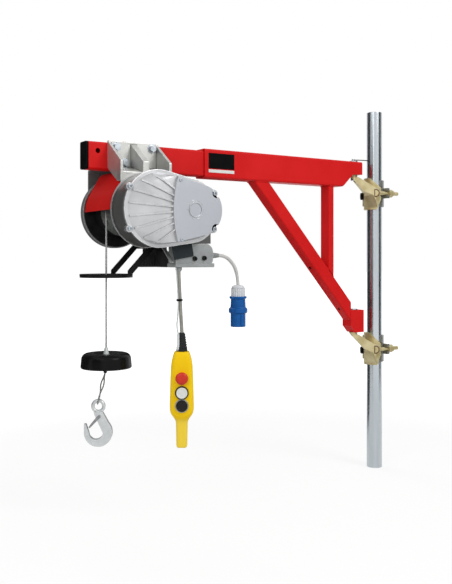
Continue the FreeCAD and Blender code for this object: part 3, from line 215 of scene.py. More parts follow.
# finishes: two close colours mottled by noise, a fine grain for the bump and a worn colour along edges;
# each lists what differs from the plain one
plainFinish = {"metal": 0.0, "mottle": 60, "grain": 1500, "bump": 0.00004, "wear": 0.5, "shine": 0.5,
               "stretch": (1, 1, 1)}
finishes = {
    "galvanised_tube": {"dark": (0.44, 0.48, 0.51), "light": (0.54, 0.58, 0.61), "worn": (0.72, 0.74, 0.75),
        "metal": 1.0, "rough": (0.2, 0.28), "mottle": 38, "stretch": (1, 1, 0.12), "grain": 900,
        "bump": 0.00002},
    "yellow_zinc": {"dark": (0.47, 0.39, 0.18), "light": (0.7, 0.62, 0.37), "worn": (0.7, 0.66, 0.5),
        "wear": 0.7, "metal": 0.45, "rough": (0.38, 0.52), "shine": 0.3, "mottle": 34, "grain": 1100,
        "bump": 0.00016},
    "zinc_flap": {"dark": (0.3, 0.31, 0.3), "light": (0.42, 0.43, 0.41), "worn": (0.6, 0.6, 0.57),
        "metal": 0.85, "rough": (0.3, 0.44), "mottle": 50, "grain": 900, "bump": 0.00005},
    "red_paint": {"dark": (0.66, 0.009, 0.01), "light": (0.73, 0.014, 0.014), "worn": (0.74, 0.06, 0.055),
        "wear": 0.6, "rough": (0.36, 0.46), "shine": 0.1, "mottle": 9, "grain": 620},
    "guard_red": {"dark": (0.5, 0.007, 0.006), "light": (0.57, 0.011, 0.009), "worn": (0.66, 0.05, 0.045),
        "rough": (0.5, 0.62), "shine": 0.04, "mottle": 9, "grain": 620},
    "pin_steel": {"dark": (0.34, 0.37, 0.4), "light": (0.5, 0.54, 0.58), "worn": (0.66, 0.68, 0.7),
        "wear": 0.6, "metal": 1.0, "rough": (0.25, 0.4), "mottle": 90, "bump": 0.00003},
    "cap_black": {"dark": (0.003, 0.003, 0.0035), "light": (0.006, 0.006, 0.0065),
        "worn": (0.02, 0.02, 0.021), "wear": 0.4, "rough": (0.45, 0.58), "shine": 0.03, "mottle": 40,
        "grain": 1800, "bump": 0.00006},
    "cast_aluminium": {"dark": (0.44, 0.44, 0.42), "light": (0.58, 0.58, 0.56), "worn": (0.8, 0.8, 0.79),
        "wear": 0.9, "metal": 0.75, "rough": (0.34, 0.48), "mottle": 22, "grain": 1200, "bump": 0.00014},
    # painted shade: below a height the housing turns darker, standing in for the dark reflection from below
    "dark_casting": {"dark": (0.34, 0.34, 0.33), "light": (0.46, 0.46, 0.45), "worn": (0.62, 0.62, 0.6),
        "wear": 0.8, "metal": 0.4, "rough": (0.34, 0.46), "mottle": 26, "grain": 1200, "bump": 0.00008,
        "lowShadeAndGrip": (0.105, 0.105, 0.102), "lowShadeAndGripFrom": 0.86, "lowShadeAndGripTo": 0.832, "waver": 0.03},
    "cover_aluminium": {"dark": (0.46, 0.465, 0.475), "light": (0.59, 0.595, 0.605),
        "worn": (0.84, 0.85, 0.86), "wear": 0.9, "metal": 0.8, "rough": (0.3, 0.4), "mottle": 16,
        "grain": 1600, "bump": 0.0001, "painted": (0.45, 0.47, 0.505)},
    "drum_steel": {"dark": (0.26, 0.265, 0.265), "light": (0.38, 0.385, 0.38), "worn": (0.66, 0.66, 0.65),
        "wear": 0.6, "metal": 0.65, "rough": (0.3, 0.45), "mottle": 40, "grain": 800, "bump": 0.00006},
    "wire_rope": {"dark": (0.2, 0.21, 0.2), "light": (0.38, 0.39, 0.37), "worn": (0.6, 0.6, 0.58),
        "wear": 0.3, "metal": 0.8, "rough": (0.35, 0.5), "mottle": 200, "grain": 2400},
    "bracket_grey": {"dark": (0.11, 0.115, 0.115), "light": (0.16, 0.165, 0.165),
        "worn": (0.26, 0.26, 0.26), "rough": (0.4, 0.52), "shine": 0.25, "mottle": 20, "grain": 900,
        "bump": 0.00005},
    "bright_rope": {"dark": (0.4, 0.41, 0.4), "light": (0.6, 0.61, 0.6), "worn": (0.6, 0.6, 0.58),
        "wear": 0.3, "metal": 0.85, "rough": (0.28, 0.42), "mottle": 200, "grain": 2400, "bump": 0.00003},
    # painted shade round the coupler's recess, dark brown
    "recess_edge_shade": {"dark": (0.1, 0.045, 0.025), "light": (0.17, 0.09, 0.05), "worn": (0.2, 0.12, 0.07),
        "wear": 0.3, "rough": (0.6, 0.75), "shine": 0.1, "mottle": 120, "bump": 0.0001},
    "box_grey": {"dark": (0.3, 0.315, 0.315), "light": (0.4, 0.415, 0.415), "worn": (0.62, 0.63, 0.63),
        "wear": 0.6, "metal": 0.25, "rough": (0.4, 0.52), "shine": 0.3, "mottle": 30, "bump": 0.00007},
    "plate_dark": {"dark": (0.02, 0.027, 0.03), "light": (0.03, 0.039, 0.043), "worn": (0.1, 0.11, 0.11),
        "rough": (0.42, 0.55), "shine": 0.15, "mottle": 40, "grain": 1600, "bump": 0.00006},
    # the rope on the drum: the same rope in a darker colour than where it hangs
    "darker_drum_rope": {"dark": (0.07, 0.075, 0.07), "light": (0.17, 0.18, 0.165), "worn": (0.3, 0.3, 0.29),
        "wear": 0.3, "metal": 0.6, "rough": (0.4, 0.55), "mottle": 200, "grain": 2400},
    "switch_grey": {"dark": (0.017, 0.017, 0.018), "light": (0.034, 0.034, 0.035), "worn": (0.1, 0.1, 0.1),
        "wear": 0.6, "rough": (0.42, 0.56), "shine": 0.2, "mottle": 50, "grain": 1600, "bump": 0.00006},
    "switch_black": {"dark": (0.006, 0.006, 0.006), "light": (0.014, 0.014, 0.014),
        "worn": (0.05, 0.05, 0.05), "rough": (0.42, 0.56), "shine": 0.15, "mottle": 50, "grain": 1600,
        "bump": 0.00006},
    "lever_black": {"dark": (0.005, 0.005, 0.005), "light": (0.009, 0.009, 0.009),
        "worn": (0.035, 0.035, 0.035), "rough": (0.3, 0.42), "shine": 0.14, "mottle": 30, "grain": 700},
    "weight_black": {"dark": (0.004, 0.004, 0.004), "light": (0.008, 0.008, 0.008),
        "worn": (0.04, 0.04, 0.04), "wear": 0.4, "rough": (0.2, 0.3), "shine": 0.09, "mottle": 26,
        "grain": 900},
    "hook_zinc": {"dark": (0.56, 0.585, 0.59), "light": (0.7, 0.725, 0.73), "worn": (0.8, 0.81, 0.82),
        "wear": 0.6, "metal": 0.5, "rough": (0.28, 0.42), "grain": 1200, "bump": 0.0001},
    "latch_steel": {"dark": (0.2, 0.21, 0.22), "light": (0.34, 0.35, 0.36), "worn": (0.5, 0.5, 0.5),
        "metal": 0.9, "rough": (0.28, 0.42), "mottle": 120, "bump": 0.00003},
    "pendant_yellow": {"dark": (1.0, 0.63, 0.004), "light": (1.0, 0.7, 0.008), "worn": (0.96, 0.68, 0.05),
        "rough": (0.38, 0.48), "shine": 0.15, "mottle": 22, "bump": 0.00006, "lowShadeAndGrip": (1.0, 0.72, 0.06),
        "lowShadeAndGripFrom": 0.27, "lowShadeAndGripTo": 0.262, "waver": 0.004},
    "boot_black": {"dark": (0.012, 0.014, 0.015), "light": (0.026, 0.029, 0.03), "worn": (0.07, 0.07, 0.07),
        "rough": (0.5, 0.65), "shine": 0.2, "bump": 0.00006},
    "button_red": {"dark": (0.62, 0.03, 0.015), "light": (0.7, 0.045, 0.022), "worn": (0.74, 0.1, 0.06),
        "wear": 0.3, "rough": (0.26, 0.36), "shine": 0.25, "bump": 0.00002},
    "button_white": {"dark": (0.74, 0.76, 0.73), "light": (0.8, 0.82, 0.79), "worn": (0.84, 0.85, 0.82),
        "wear": 0.3, "rough": (0.24, 0.34), "bump": 0.00002},
    "button_black": {"dark": (0.008, 0.007, 0.006), "light": (0.016, 0.014, 0.012),
        "worn": (0.06, 0.06, 0.06), "wear": 0.3, "rough": (0.26, 0.36), "shine": 0.2, "bump": 0.00002},
    "cable_grey": {"dark": (0.27, 0.265, 0.235), "light": (0.35, 0.345, 0.31), "worn": (0.46, 0.45, 0.42),
        "wear": 0.3, "rough": (0.42, 0.54), "shine": 0.3, "grain": 1600, "bump": 0.00005},
    "cable_white": {"dark": (0.6, 0.6, 0.58), "light": (0.68, 0.68, 0.66), "worn": (0.78, 0.78, 0.76),
        "wear": 0.3, "rough": (0.4, 0.5), "shine": 0.3, "grain": 1600},
    "plug_white": {"dark": (0.68, 0.7, 0.73), "light": (0.75, 0.77, 0.8), "worn": (0.84, 0.85, 0.87),
        "wear": 0.4, "rough": (0.32, 0.42), "shine": 0.3, "mottle": 40},
    "plug_blue": {"dark": (0.004, 0.085, 0.32), "light": (0.008, 0.115, 0.4), "worn": (0.04, 0.16, 0.38),
        "rough": (0.34, 0.46), "shine": 0.2, "mottle": 40, "bump": 0.00005},
}
# the last entries set the painted shade in inner corners and the patch size of the uneven edge of the lower
# colour band
surfaceLook = {"span": (0.3, 0.7), "patches": 160, "rubbed": (0.4, 0.62), "cornerShadeShare": 0.6, "cornerShadeTone": 0.16,
               "lowShadeAndGripPatches": 30}


def addNoise(tree, vector, scale, detail):
    return addNode(tree, "TexNoise", {"Vector": vector, "Scale": scale, "Detail": detail}).outputs["Fac"]


def addRange(tree, value, start, end, toStart=0.0, toEnd=1.0):
    return addNode(tree, "MapRange", {"Value": value, "From Min": start, "From Max": end, "To Min": toStart,
                                      "To Max": toEnd}).outputs[0]


def markedFaces(tree, attribute):
    return addNode(tree, "Attribute", attribute_name=attribute).outputs["Fac"]


def coatColour(tree, share, under, colour):
    coat = addNode(tree, "Mix", data_type="RGBA")
    feed(tree, coat, {"Factor": share, "A": under, "B": (*colour, 1)})
    return coat.outputs["Result"]


def addLowShadeAndGrip(tree, places, surface, look):
    # another colour below a height, with an uneven edge: painted shade on a casting's lower part, a paler
    # grip on a handle
    height = addNode(tree, "SeparateXYZ", {0: places}).outputs["Z"]
    noise = addNoise(tree, places, surfaceLook["lowShadeAndGripPatches"], 4.0)
    uneven = addMath(tree, "MULTIPLY_ADD", noise, look["waver"], height)
    half = look["waver"] / 2
    return coatColour(tree, addRange(tree, uneven, look["lowShadeAndGripFrom"] + half, look["lowShadeAndGripTo"] + half), surface,
                      look["lowShadeAndGrip"])


def mixFinish(name):
    look = {**plainFinish, **finishes[name]}
    material, tree, shader = newMaterial(name)
    places = addNode(tree, "TexCoord").outputs["Object"]
    stretch = addNode(tree, "Mapping", {"Vector": places, "Scale": look["stretch"]}).outputs["Vector"]
    mottle = addNoise(tree, stretch, look["mottle"], 5.0)
    colours = addNode(tree, "ValToRGB", {"Fac": mottle})
    for stop, place, key in zip(colours.color_ramp.elements, surfaceLook["span"], ("dark", "light")):
        stop.position = place
        stop.color = (*look[key], 1)
    surface = colours.outputs["Color"]
    # below a height: painted shade on the housing's casting, the pendant's own paler grip
    if "lowShadeAndGrip" in look:
        surface = addLowShadeAndGrip(tree, places, surface, look)
    if "painted" in look:  # marked faces are sprayed matt
        surface = coatColour(tree, markedFaces(tree, "paintedFace"), surface, look["painted"])
    # wear on the marked rounded edges, broken up by a coarse noise, then painted shade in the marked inner
    # corners
    patches = addNoise(tree, places, surfaceLook["patches"], 3.0)
    rubbed = addRange(tree, patches, *surfaceLook["rubbed"], 0.0, look["wear"])
    worn = addMath(tree, "MULTIPLY", markedFaces(tree, "edgeWear"), rubbed)
    surface = coatColour(tree, worn, surface, look["worn"])
    shadedCorners = addMath(tree, "MULTIPLY", markedFaces(tree, "cornerDirt"), surfaceLook["cornerShadeShare"])
    cornerShade = [channel * surfaceLook["cornerShadeTone"] for channel in look["dark"]]
    surface = coatColour(tree, shadedCorners, surface, cornerShade)
    grain = addNoise(tree, places, look["grain"], 3.0)
    bump = addNode(tree, "Bump", {"Strength": 1.0, "Distance": look["bump"], "Height": grain})
    feed(tree, shader, {"Metallic": look["metal"], "Specular IOR Level": look["shine"], "Base Color": surface,
                        "Roughness": addRange(tree, mottle, *surfaceLook["span"], *look["rough"]),
                        "Normal": bump.outputs["Normal"]})
    return material


materials = {name: mixFinish(name) for name in finishes}
nodeSlot = {subpart["node"]: subpart["material_slot"] for subpart in frame["record"]["subparts"]}
nodeBody = {node: body for body, held in frame["record"]["behaviour"]["bodies"].items() for node in held}
print("finishes mixed:", len(materials))


# small jobs on meshes that the pieces share
def vertsIn(parts):
    return [part for part in parts if isinstance(part, bmesh.types.BMVert)]


def edgesIn(parts):
    return [part for part in parts if isinstance(part, bmesh.types.BMEdge)]


def everything(mesh):
    return mesh.verts[:] + mesh.edges[:] + mesh.faces[:]


def move(mesh, vec):
    bmesh.ops.translate(mesh, vec=vec, verts=mesh.verts)


def faceOut(mesh):
    bmesh.ops.recalc_face_normals(mesh, faces=mesh.faces)
    return mesh


def mergeFlat(mesh, angle=1):
    bmesh.ops.dissolve_limit(mesh, angle_limit=math.radians(angle), verts=mesh.verts, edges=mesh.edges)


def bevel(mesh, geom, width, segments=2, affect="EDGES"):
    return bmesh.ops.bevel(mesh, geom=geom, offset=width, offset_type="OFFSET", segments=segments,
                           profile=0.5, affect=affect, clamp_overlap=True, material=-1)["faces"]


def cutOff(mesh, through, outward):
    # takes what lies outside a plane and closes the cut
    cut = bmesh.ops.bisect_plane(mesh, geom=everything(mesh), dist=1e-6, plane_co=through, plane_no=outward,
                                 clear_outer=True)
    bmesh.ops.holes_fill(mesh, edges=edgesIn(cut["geom_cut"]), sides=0)


def thicken(mesh, thick):
    faceOut(mesh)
    bmesh.ops.solidify(mesh, geom=mesh.faces[:] + mesh.edges[:] + mesh.verts[:], thickness=thick)
    return faceOut(mesh)


def swing(mesh, geom, centre, axis, angle, steps, advance=(0, 0, 0)):
    bmesh.ops.spin(mesh, geom=geom, cent=centre, axis=axis, dvec=advance, angle=angle, steps=steps,
                   use_merge=False, use_duplicate=False)


def makeBlock(size, at):
    block = bmesh.new()
    bmesh.ops.create_cube(block, size=1.0, matrix=at @ Matrix.Diagonal((*size, 1)))
    return block


def softBlock(size, at, corner, segments=2):
    block = makeBlock(size, at)
    bevel(block, block.edges[:], corner, segments)
    return block


def turnProfile(corners, at=Matrix(), steps=40):
    # corners are radius, height and rounding: the line through them is spun round Z and taken to its place
    mesh = bmesh.new()
    verts = [mesh.verts.new((radius, 0, height)) for radius, height, *rounding in corners]
    for pair in zip(verts, verts[1:]):
        mesh.edges.new(pair)
    for vert, corner in zip(verts, corners):
        if len(corner) > 2:
            bevel(mesh, [vert], corner[2], 5, "VERTICES")
    bmesh.ops.spin(mesh, geom=mesh.verts[:] + mesh.edges[:], cent=(0, 0, 0), axis=(0, 0, 1), dvec=(0, 0, 0),
                   angle=math.tau, steps=steps, use_merge=True, use_duplicate=False)
    bmesh.ops.remove_doubles(mesh, verts=mesh.verts, dist=1e-6)
    bmesh.ops.transform(mesh, matrix=at, verts=mesh.verts)
    return faceOut(mesh)


def addShape(mesh, shape):
    # joins a shape's mesh to a larger one
    shapeMesh = bpy.data.meshes.new("shape")
    shape.to_mesh(shapeMesh)
    shape.free()
    mesh.from_mesh(shapeMesh)
    bpy.data.meshes.remove(shapeMesh)


def cutAway(mesh, cutter):
    # what is left of a closed mesh once another is taken from it
    solids = []
    for name, shape in (("cutSolid", mesh), ("cutTool", cutter)):
        solidMesh = bpy.data.meshes.new(name)
        shape.to_mesh(solidMesh)
        shape.free()
        solids.append(linkObject(name, solidMesh))
    cut = solids[0].modifiers.new("cut", "BOOLEAN")
    cut.operation = "DIFFERENCE"
    cut.solver = "EXACT"
    cut.object = solids[1]
    bpy.context.view_layer.update()
    cutMesh = bpy.data.meshes.new_from_object(solids[0].evaluated_get(bpy.context.evaluated_depsgraph_get()))
    result = bmesh.new()
    result.from_mesh(cutMesh)
    for used in [solid.data for solid in solids] + [cutMesh]:
        bpy.data.meshes.remove(used)  # takes its object with it
    return result


def shadeRound(mesh, sharpAngle=34):
    for face in mesh.faces:
        face.smooth = True
    for edge in mesh.edges:
        edge.smooth = edge.calc_face_angle(0.0) < math.radians(sharpAngle)


def roundEdges(mesh, width, sharpAngle=28):
    # sharp edges are rounded and marked for wear, inner corners for painted shade
    wear = mesh.faces.layers.float.new("edgeWear")
    cornerShade = mesh.faces.layers.float.new("cornerDirt")
    corners = [edge for edge in mesh.edges if edge.calc_face_angle(0.0) > math.radians(sharpAngle)]
    for face in bevel(mesh, corners, width):
        bend = sum(edge.calc_face_angle_signed(0.0) for edge in face.edges)
        face[wear if bend > 0 else cornerShade] = 1.0
    return mesh


def boxOf(node):
    return [Vector(corner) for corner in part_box(node)]


def footOf(node):
    # the middle of a node's foot, and its height
    low, high = boxOf(node)
    return Vector(((low.x + high.x) / 2, (low.y + high.y) / 2, low.z)), high.z - low.z


def register(piece, slot, body, *standsFor):
    # a piece rides on its body, in place of the nodes it stands for
    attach(piece, body)
    if standsFor:
        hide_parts(*standsFor)
    return piece


def placeMesh(name, mesh, finish, sharpAngle=34):
    shadeRound(mesh, sharpAngle)
    pieceMesh = bpy.data.meshes.new(name)
    mesh.to_mesh(pieceMesh)
    mesh.free()
    pieceMesh.materials.append(materials[finish])
    return linkObject(name, pieceMesh)


def hangPiece(name, mesh, slot, body, *standsFor, finish=None):
    piece = placeMesh(name, mesh, finish or slot)
    piece.modifiers.new("evenNormals", "WEIGHTED_NORMAL").keep_sharp = True
    return register(piece, slot, body, *standsFor)


def newCurve(name):
    curveData = bpy.data.curves.new(name, "CURVE")
    curveData.dimensions = "3D"
    return curveData


def routeCurve(name, route):
    curveData = newCurve(name)
    curveData.resolution_u = 16
    spline = curveData.splines.new("NURBS")
    spline.points.add(len(route) - 1)
    for point, spot in zip(spline.points, route):
        point.co = (*spot, 1)
    spline.order_u = 3
    spline.use_endpoint_u = True
    return curveData


def hangCurve(name, curveData, thick, roundness, slot, body, *standsFor):
    curveData.bevel_depth = thick / 2
    curveData.bevel_resolution = roundness
    curveData.use_fill_caps = True
    curveData.materials.append(materials[slot])
    return register(linkObject(name, curveData), slot, body, *standsFor)


# CAD nodes that keep their shape: the width of their rounded edges
edgeRounding = {
    "scaffold_tube": 0.0008, "upper_coupler": 0.0022, "lower_coupler": 0.0022, "upper_coupler_flap": 0.0012,
    "lower_coupler_flap": 0.0012, "upper_coupler_bolt": 0.0008, "lower_coupler_bolt": 0.0008,
    "outer_arm": 0.0008, "brace": 0.0008, "strut": 0.0008, "lower_pivot_bush": 0.0012, "inner_arm": 0.0008,
    "arm_end_cap": 0.0018, "rope_drum": 0.0012, "gear_housing": 0.0012, "hanger": 0.0018,
    "rear_bracket": 0.0012, "drum_guard": 0.0006, "terminal_box": 0.0025, "box_plate": 0.001,
    "switch_box": 0.001, "limit_lever": 0.0015, "load_hook": 0.0035, "hook_latch": 0.0006,
}
ownFinish = {"drum_guard": "guard_red", "switch_box": "switch_grey"}
# corners cut off: a point on the cut, from the tube's axis at the node's foot, and the side that goes
couplerCorners = [{"through": (-0.0398, 0.0, 0.1106), "outward": (0.549, -0.353, 0.758)},
                  {"through": (0.0033, 0.0, 0.0015), "outward": (0.7725, -0.496, -0.397)}]
trimmed = {"lower_pivot_bush": [{"through": (-0.098, 0.0, 0.0), "outward": (-0.75, 0.0, -0.661)}],
           "upper_coupler": couplerCorners, "lower_coupler": couplerCorners}
# room under a coupler's wing: a prism in line with the view, its outline across and up from the foot
wingRoom = {"nodes": ("upper_coupler", "lower_coupler"), "across": (0.8415, -0.5402, 0),
            "deep": (0.0432, 0.0673, 0), "merge": 0.0006,
            "outline": [(-0.13, 0.1475), (-0.13, 0.02), (-0.036, 0.02), (-0.036, 0.0486), (-0.0455, 0.0586),
                        (-0.0763, 0.091)]}


def wingTool(foot):
    tool = bmesh.new()
    across, deep = Vector(wingRoom["across"]), Vector(wingRoom["deep"])
    under = tool.faces.new([tool.verts.new(foot + across * side + Vector((0, 0, rise)) - deep)
                            for side, rise in wingRoom["outline"]])
    grown = bmesh.ops.extrude_face_region(tool, geom=[under])["geom"]
    bmesh.ops.translate(tool, vec=deep * 2, verts=vertsIn(grown))
    return faceOut(tool)


def roundedCopy(node, width):
    # a node's triangles merged to whole faces
    mesh = bmesh.new()
    mesh.from_mesh(frame["nodes"][node].data)
    bmesh.ops.remove_doubles(mesh, verts=mesh.verts, dist=1e-5)
    mergeFlat(mesh)
    foot = Vector((0, 0, boxOf(node)[0].z))
    for corner in trimmed.get(node, []):
        cutOff(mesh, foot + Vector(corner["through"]), corner["outward"])
    if node in wingRoom["nodes"]:
        mesh = cutAway(mesh, wingTool(foot))
        mergeFlat(mesh)
        # slivers would limit the rounding
        bmesh.ops.remove_doubles(mesh, verts=mesh.verts, dist=wingRoom["merge"])
    return roundEdges(mesh, width)


def dressNodes():
    for node, width in edgeRounding.items():
        hangPiece(node + ".skin", roundedCopy(node, width), nodeSlot[node], nodeBody[node], node,
                  finish=ownFinish.get(node))


dressNodes()
print("nodes with rounded edges:", len(edgeRounding))


# cords: the routes are the CAD's own, in metres
cordLook = {
    "pendantCable": {"route": [(-0.795, -0.138, 0.635), (-0.7915, -0.138, 0.56), (-0.786, -0.138, 0.481)],
                     "thick": 0.009, "length": 0.1543, "slot": "cable_grey", "node": "pendant_cable",
                     "farEnd": "object", "lay": "hanging"},
    "powerCable": {"route": [(-0.688, -0.13, 0.675), (-0.662, -0.13, 0.6765), (-0.636, -0.13, 0.664),
                             (-0.614, -0.13, 0.634), (-0.611, -0.13, 0.597)],
                   "thick": 0.009, "length": 0.1235, "slot": "cable_white", "node": "power_cable",
                   "farEnd": "plug", "lay": "hanging"},
}


def hangCord(name, *carried):
    look = cordLook[name]
    cable = hangCurve(name, routeCurve(name, look["route"]), look["thick"], 6, look["slot"],
                      nodeBody[look["node"]], look["node"])


# plug: a fluted white nut over a blue body with a rim, a collar and a hinged lid's lip
plugLook = {"flutes": 20, "fluteDepth": 0.0012, "fluted": 0.72, "bodyRadius": 0.0198, "rim": 0.0228,
            "collar": 0.0248, "lipCorner": 0.001}


def makeNut():
    foot, tall = footOf("plug_nut")
    radius = foot.x - boxOf("plug_nut")[0].x
    crownFoot = tall * plugLook["fluted"]
    nut = bmesh.new()
    ring = bmesh.ops.create_circle(nut, cap_ends=True, segments=4 * plugLook["flutes"], radius=radius)
    for index, vert in enumerate(ring["verts"]):
        if index % 4 > 1:
            vert.co *= 1 - plugLook["fluteDepth"] / radius
    side = bmesh.ops.extrude_face_region(nut, geom=nut.faces[:])
    bmesh.ops.translate(nut, vec=(0, 0, crownFoot), verts=vertsIn(side["geom"]))
    faceOut(nut)
    move(nut, foot)
    crown = [(0, crownFoot), (radius * 0.97, crownFoot, 0.002), (radius * 0.86, tall * 0.9, 0.003),
             (radius * 0.5, tall, 0.002), (0, tall)]
    addShape(nut, turnProfile(crown, stand(foot)))
    return hangPiece("plugNut", nut, "plug_white", "hoist", "plug_nut")


def makePlug():
    foot, tall = footOf("plug_body")
    foot.xy = footOf("plug_nut")[0].xy
    radius, rim, collar = plugLook["bodyRadius"], plugLook["rim"], plugLook["collar"]
    body = turnProfile([
        (0, 0.012), (radius * 0.84, 0.012), (radius * 0.84, 0.0), (radius, 0.0, 0.001),
        (radius, tall * 0.44, 0.001), (collar, tall * 0.47, 0.001), (collar, tall * 0.6, 0.0015),
        (radius * 1.02, tall * 0.64, 0.002), (radius * 0.96, tall * 0.92, 0.002), (rim, tall * 0.94, 0.001),
        (rim, tall, 0.001), (0, tall)], stand(foot), 48)
    for spot, size in (((-0.0215, -0.004, tall * 0.96), (0.006, 0.012, 0.006)),
                       ((0.0, -0.0205, tall * 0.25), (0.009, 0.004, tall * 0.4)),
                       ((-0.0195, -0.006, tall * 0.54), (0.012, 0.01, 0.008))):
        addShape(body, softBlock(size, Matrix.Translation(foot + Vector(spot)), plugLook["lipCorner"]))
    return hangPiece("plugBody", body, "plug_blue", "hoist", "plug_body")


hangCord("powerCable", makeNut(), makePlug())
hangCord("pendantCable")
print("cords and plug hung")


# inlet: a collar, and a ribbed sleeve that tapers on to the lead
inletLook = {"collar": 0.009, "tip": 0.0056, "past": 0.014, "ribs": 5}


def sleeveCorners(start, end, startRadius, endRadius, ribs):
    corners = []
    for index in range(ribs):
        for share, grow in ((0.0, 1.0), (0.55, 1.0), (0.6, 0.88), (0.95, 0.88)):
            along = (index + share) / ribs
            radius = startRadius + (endRadius - startRadius) * along
            corners.append((radius * grow, start + (end - start) * along))
    return corners


def makeInlet():
    low, high = boxOf("power_inlet")
    base = Vector((low.x, (low.y + high.y) / 2, (low.z + high.z) / 2))
    length, collar, tip = high.x - low.x, inletLook["collar"], inletLook["tip"]
    end = length + inletLook["past"]
    corners = [(0, 0), (collar, 0, 0.0008), (collar, length * 0.55, 0.001), (collar * 0.86, length * 0.6)]
    corners += sleeveCorners(length * 0.62, end, collar * 0.84, tip, inletLook["ribs"])
    corners += [(tip - 0.0001, end + 0.0005), (0, end + 0.0005)]
    inlet = turnProfile(corners, stand(base, (1, 0, 0)))
    hangPiece("powerInlet", inlet, "boot_black", "hoist", "power_inlet", finish="box_grey")


makeInlet()


# rope: six strands laid round each other, from the drum down to the weight's ferrule
ropeLook = {"strands": 6, "strand": 0.00095, "lay": 0.00155, "pitch": 0.034, "steps": 9}
# winding: the same rope in close turns along the drum
windingLook = {"thick": 0.0049, "pitch": 0.0053, "start": -0.088, "end": 0.031, "steps": 36}


def coil(mesh, sides, radius, at, centre, axis, rise, look):
    # a small ring swept along a screw line
    turns = rise / look["pitch"]
    steps = round(turns * look["steps"])
    ring = bmesh.ops.create_circle(mesh, segments=sides, radius=radius, matrix=at)["verts"]
    edges = list(dict.fromkeys(edge for vert in ring for edge in vert.link_edges))
    swing(mesh, ring + edges, centre, axis, math.tau * turns, steps, Vector(axis) * rise / steps)


def closeEnds(mesh):
    bmesh.ops.holes_fill(mesh, edges=mesh.edges, sides=8)
    return faceOut(mesh)


def layHoistRope():
    foot, rise = footOf("hoist_rope")
    mesh = bmesh.new()
    for index in range(ropeLook["strands"]):
        angle = math.tau * index / ropeLook["strands"]
        aside = Vector((math.cos(angle), math.sin(angle), 0)) * ropeLook["lay"]
        coil(mesh, 6, ropeLook["strand"], Matrix.Translation(foot + aside), (foot.x, foot.y, 0), (0, 0, 1),
             rise, ropeLook)
    rope = placeMesh("hoistRope", closeEnds(mesh), "bright_rope", 80)
    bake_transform(rope, "hoist", "hook", start=(foot.x, foot.y, foot.z + rise), end=(foot.x, foot.y, foot.z))
    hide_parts("hoist_rope")


def windDrum():
    low, high = boxOf("rope_drum")
    axis = Vector(((low.x + high.x) / 2, 0, (low.z + high.z) / 2))
    radius = axis.x - footOf("hoist_rope")[0].x
    mesh = bmesh.new()
    start = stand(axis + Vector((-radius, windingLook["start"], 0)))
    coil(mesh, 7, windingLook["thick"] / 2, start, axis, (0, 1, 0),
         windingLook["end"] - windingLook["start"], windingLook)
    hangPiece("drumWinding", closeEnds(mesh), "wire_rope", "drum", finish="darker_drum_rope")


layHoistRope()
windDrum()
print("rope laid and wound")


# weight: a rounded puck with a dished top, and the ferrule that the rope ends in
weightLook = {"height": 0.038, "radius": 0.0655, "topRadius": 0.062, "foot": 0.004, "shoulder": 0.013,
              "dish": 0.005, "dishRadius": 0.015, "dishSpread": 2.2, "ferrule": 0.0078, "ferruleTip": 0.0042}


def makeWeight():
    look = weightLook
    foot, top = footOf("rope_weight")
    tall, floor = look["height"], look["height"] - look["dish"]
    puck = turnProfile([
        (0, 0), (look["radius"], 0, look["foot"]), (look["topRadius"], tall, look["shoulder"]),
        (look["dishRadius"] * look["dishSpread"], tall, 0.004), (look["dishRadius"], floor, 0.002),
        (0, floor)], stand(foot), 64)
    hangPiece("weightPuck", puck, "weight_black", "hook", "rope_weight")
    thick, tip = look["ferrule"], look["ferruleTip"]
    ferrule = turnProfile([
        (0, floor), (thick, floor), (thick, floor + 0.004, 0.0006), (thick * 0.86, floor + 0.005),
        (tip, top, 0.0008), (0, top)], stand(foot), 32)
    hangPiece("ropeFerrule", ferrule, "hook_zinc", "hook")


makeWeight()


# pendant: a ribbed boot, a gland, the buttons and their collars, and their seat's distance from the axis
pendantLook = {
    "front": (-0.5, -0.866, 0.0), "seat": 0.023,
    "boot": {"foot": 0.0138, "neck": 0.0122, "sleeve": (0.0136, 0.0082), "tip": 0.0064, "ribs": 6},
    "gland": {"lip": 0.0056, "side": 0.0072, "body": 0.008},
    "mushroom": [(0, -0.012), (0.009, -0.012), (0.009, 0.0075), (0.0155, 0.0075, 0.001),
                 (0.016, 0.0115, 0.002), (0.011, 0.0155, 0.003), (0, 0.0163)],
    "push": [(0, -0.006), (0.0138, -0.006), (0.0138, 0.0072, 0.0016), (0.0112, 0.0078),
             (0.0102, 0.0069, 0.0008), (0, 0.0066)],
    "collar": [(0.0146, 0.0), (0.0172, 0.0, 0.0005), (0.0168, 0.003, 0.0008), (0.0146, 0.0033, 0.0004),
               (0.0146, 0.0)],
    "stopCollar": [(0.0098, 0.0), (0.0145, 0.0, 0.0005), (0.0138, 0.0027, 0.0006), (0.0098, 0.003, 0.0004),
                   (0.0098, 0.0)],
    "buttons": {"stop_button": ("mushroom", "button_red", "stopCollar", "pendant_yellow"),
                "raise_button": ("push", "button_white", "collar", "boot_black"),
                "lower_button": ("push", "button_black", "collar", "box_grey")},
}


def makeButtons():
    front = Vector(pendantLook["front"])
    for node, (profile, slot, ring, ringSlot) in pendantLook["buttons"].items():
        foot, tall = footOf(node)
        seat = footOf("pendant_case")[0] + front * pendantLook["seat"]
        seat.z = foot.z + tall / 2
        at = stand(seat, front)
        hangPiece(node + ".cap", turnProfile(pendantLook[profile], at, 36), slot, nodeBody[node], node)
        hangPiece(node + ".collar", turnProfile(pendantLook[ring], at, 36), ringSlot, "hoist")


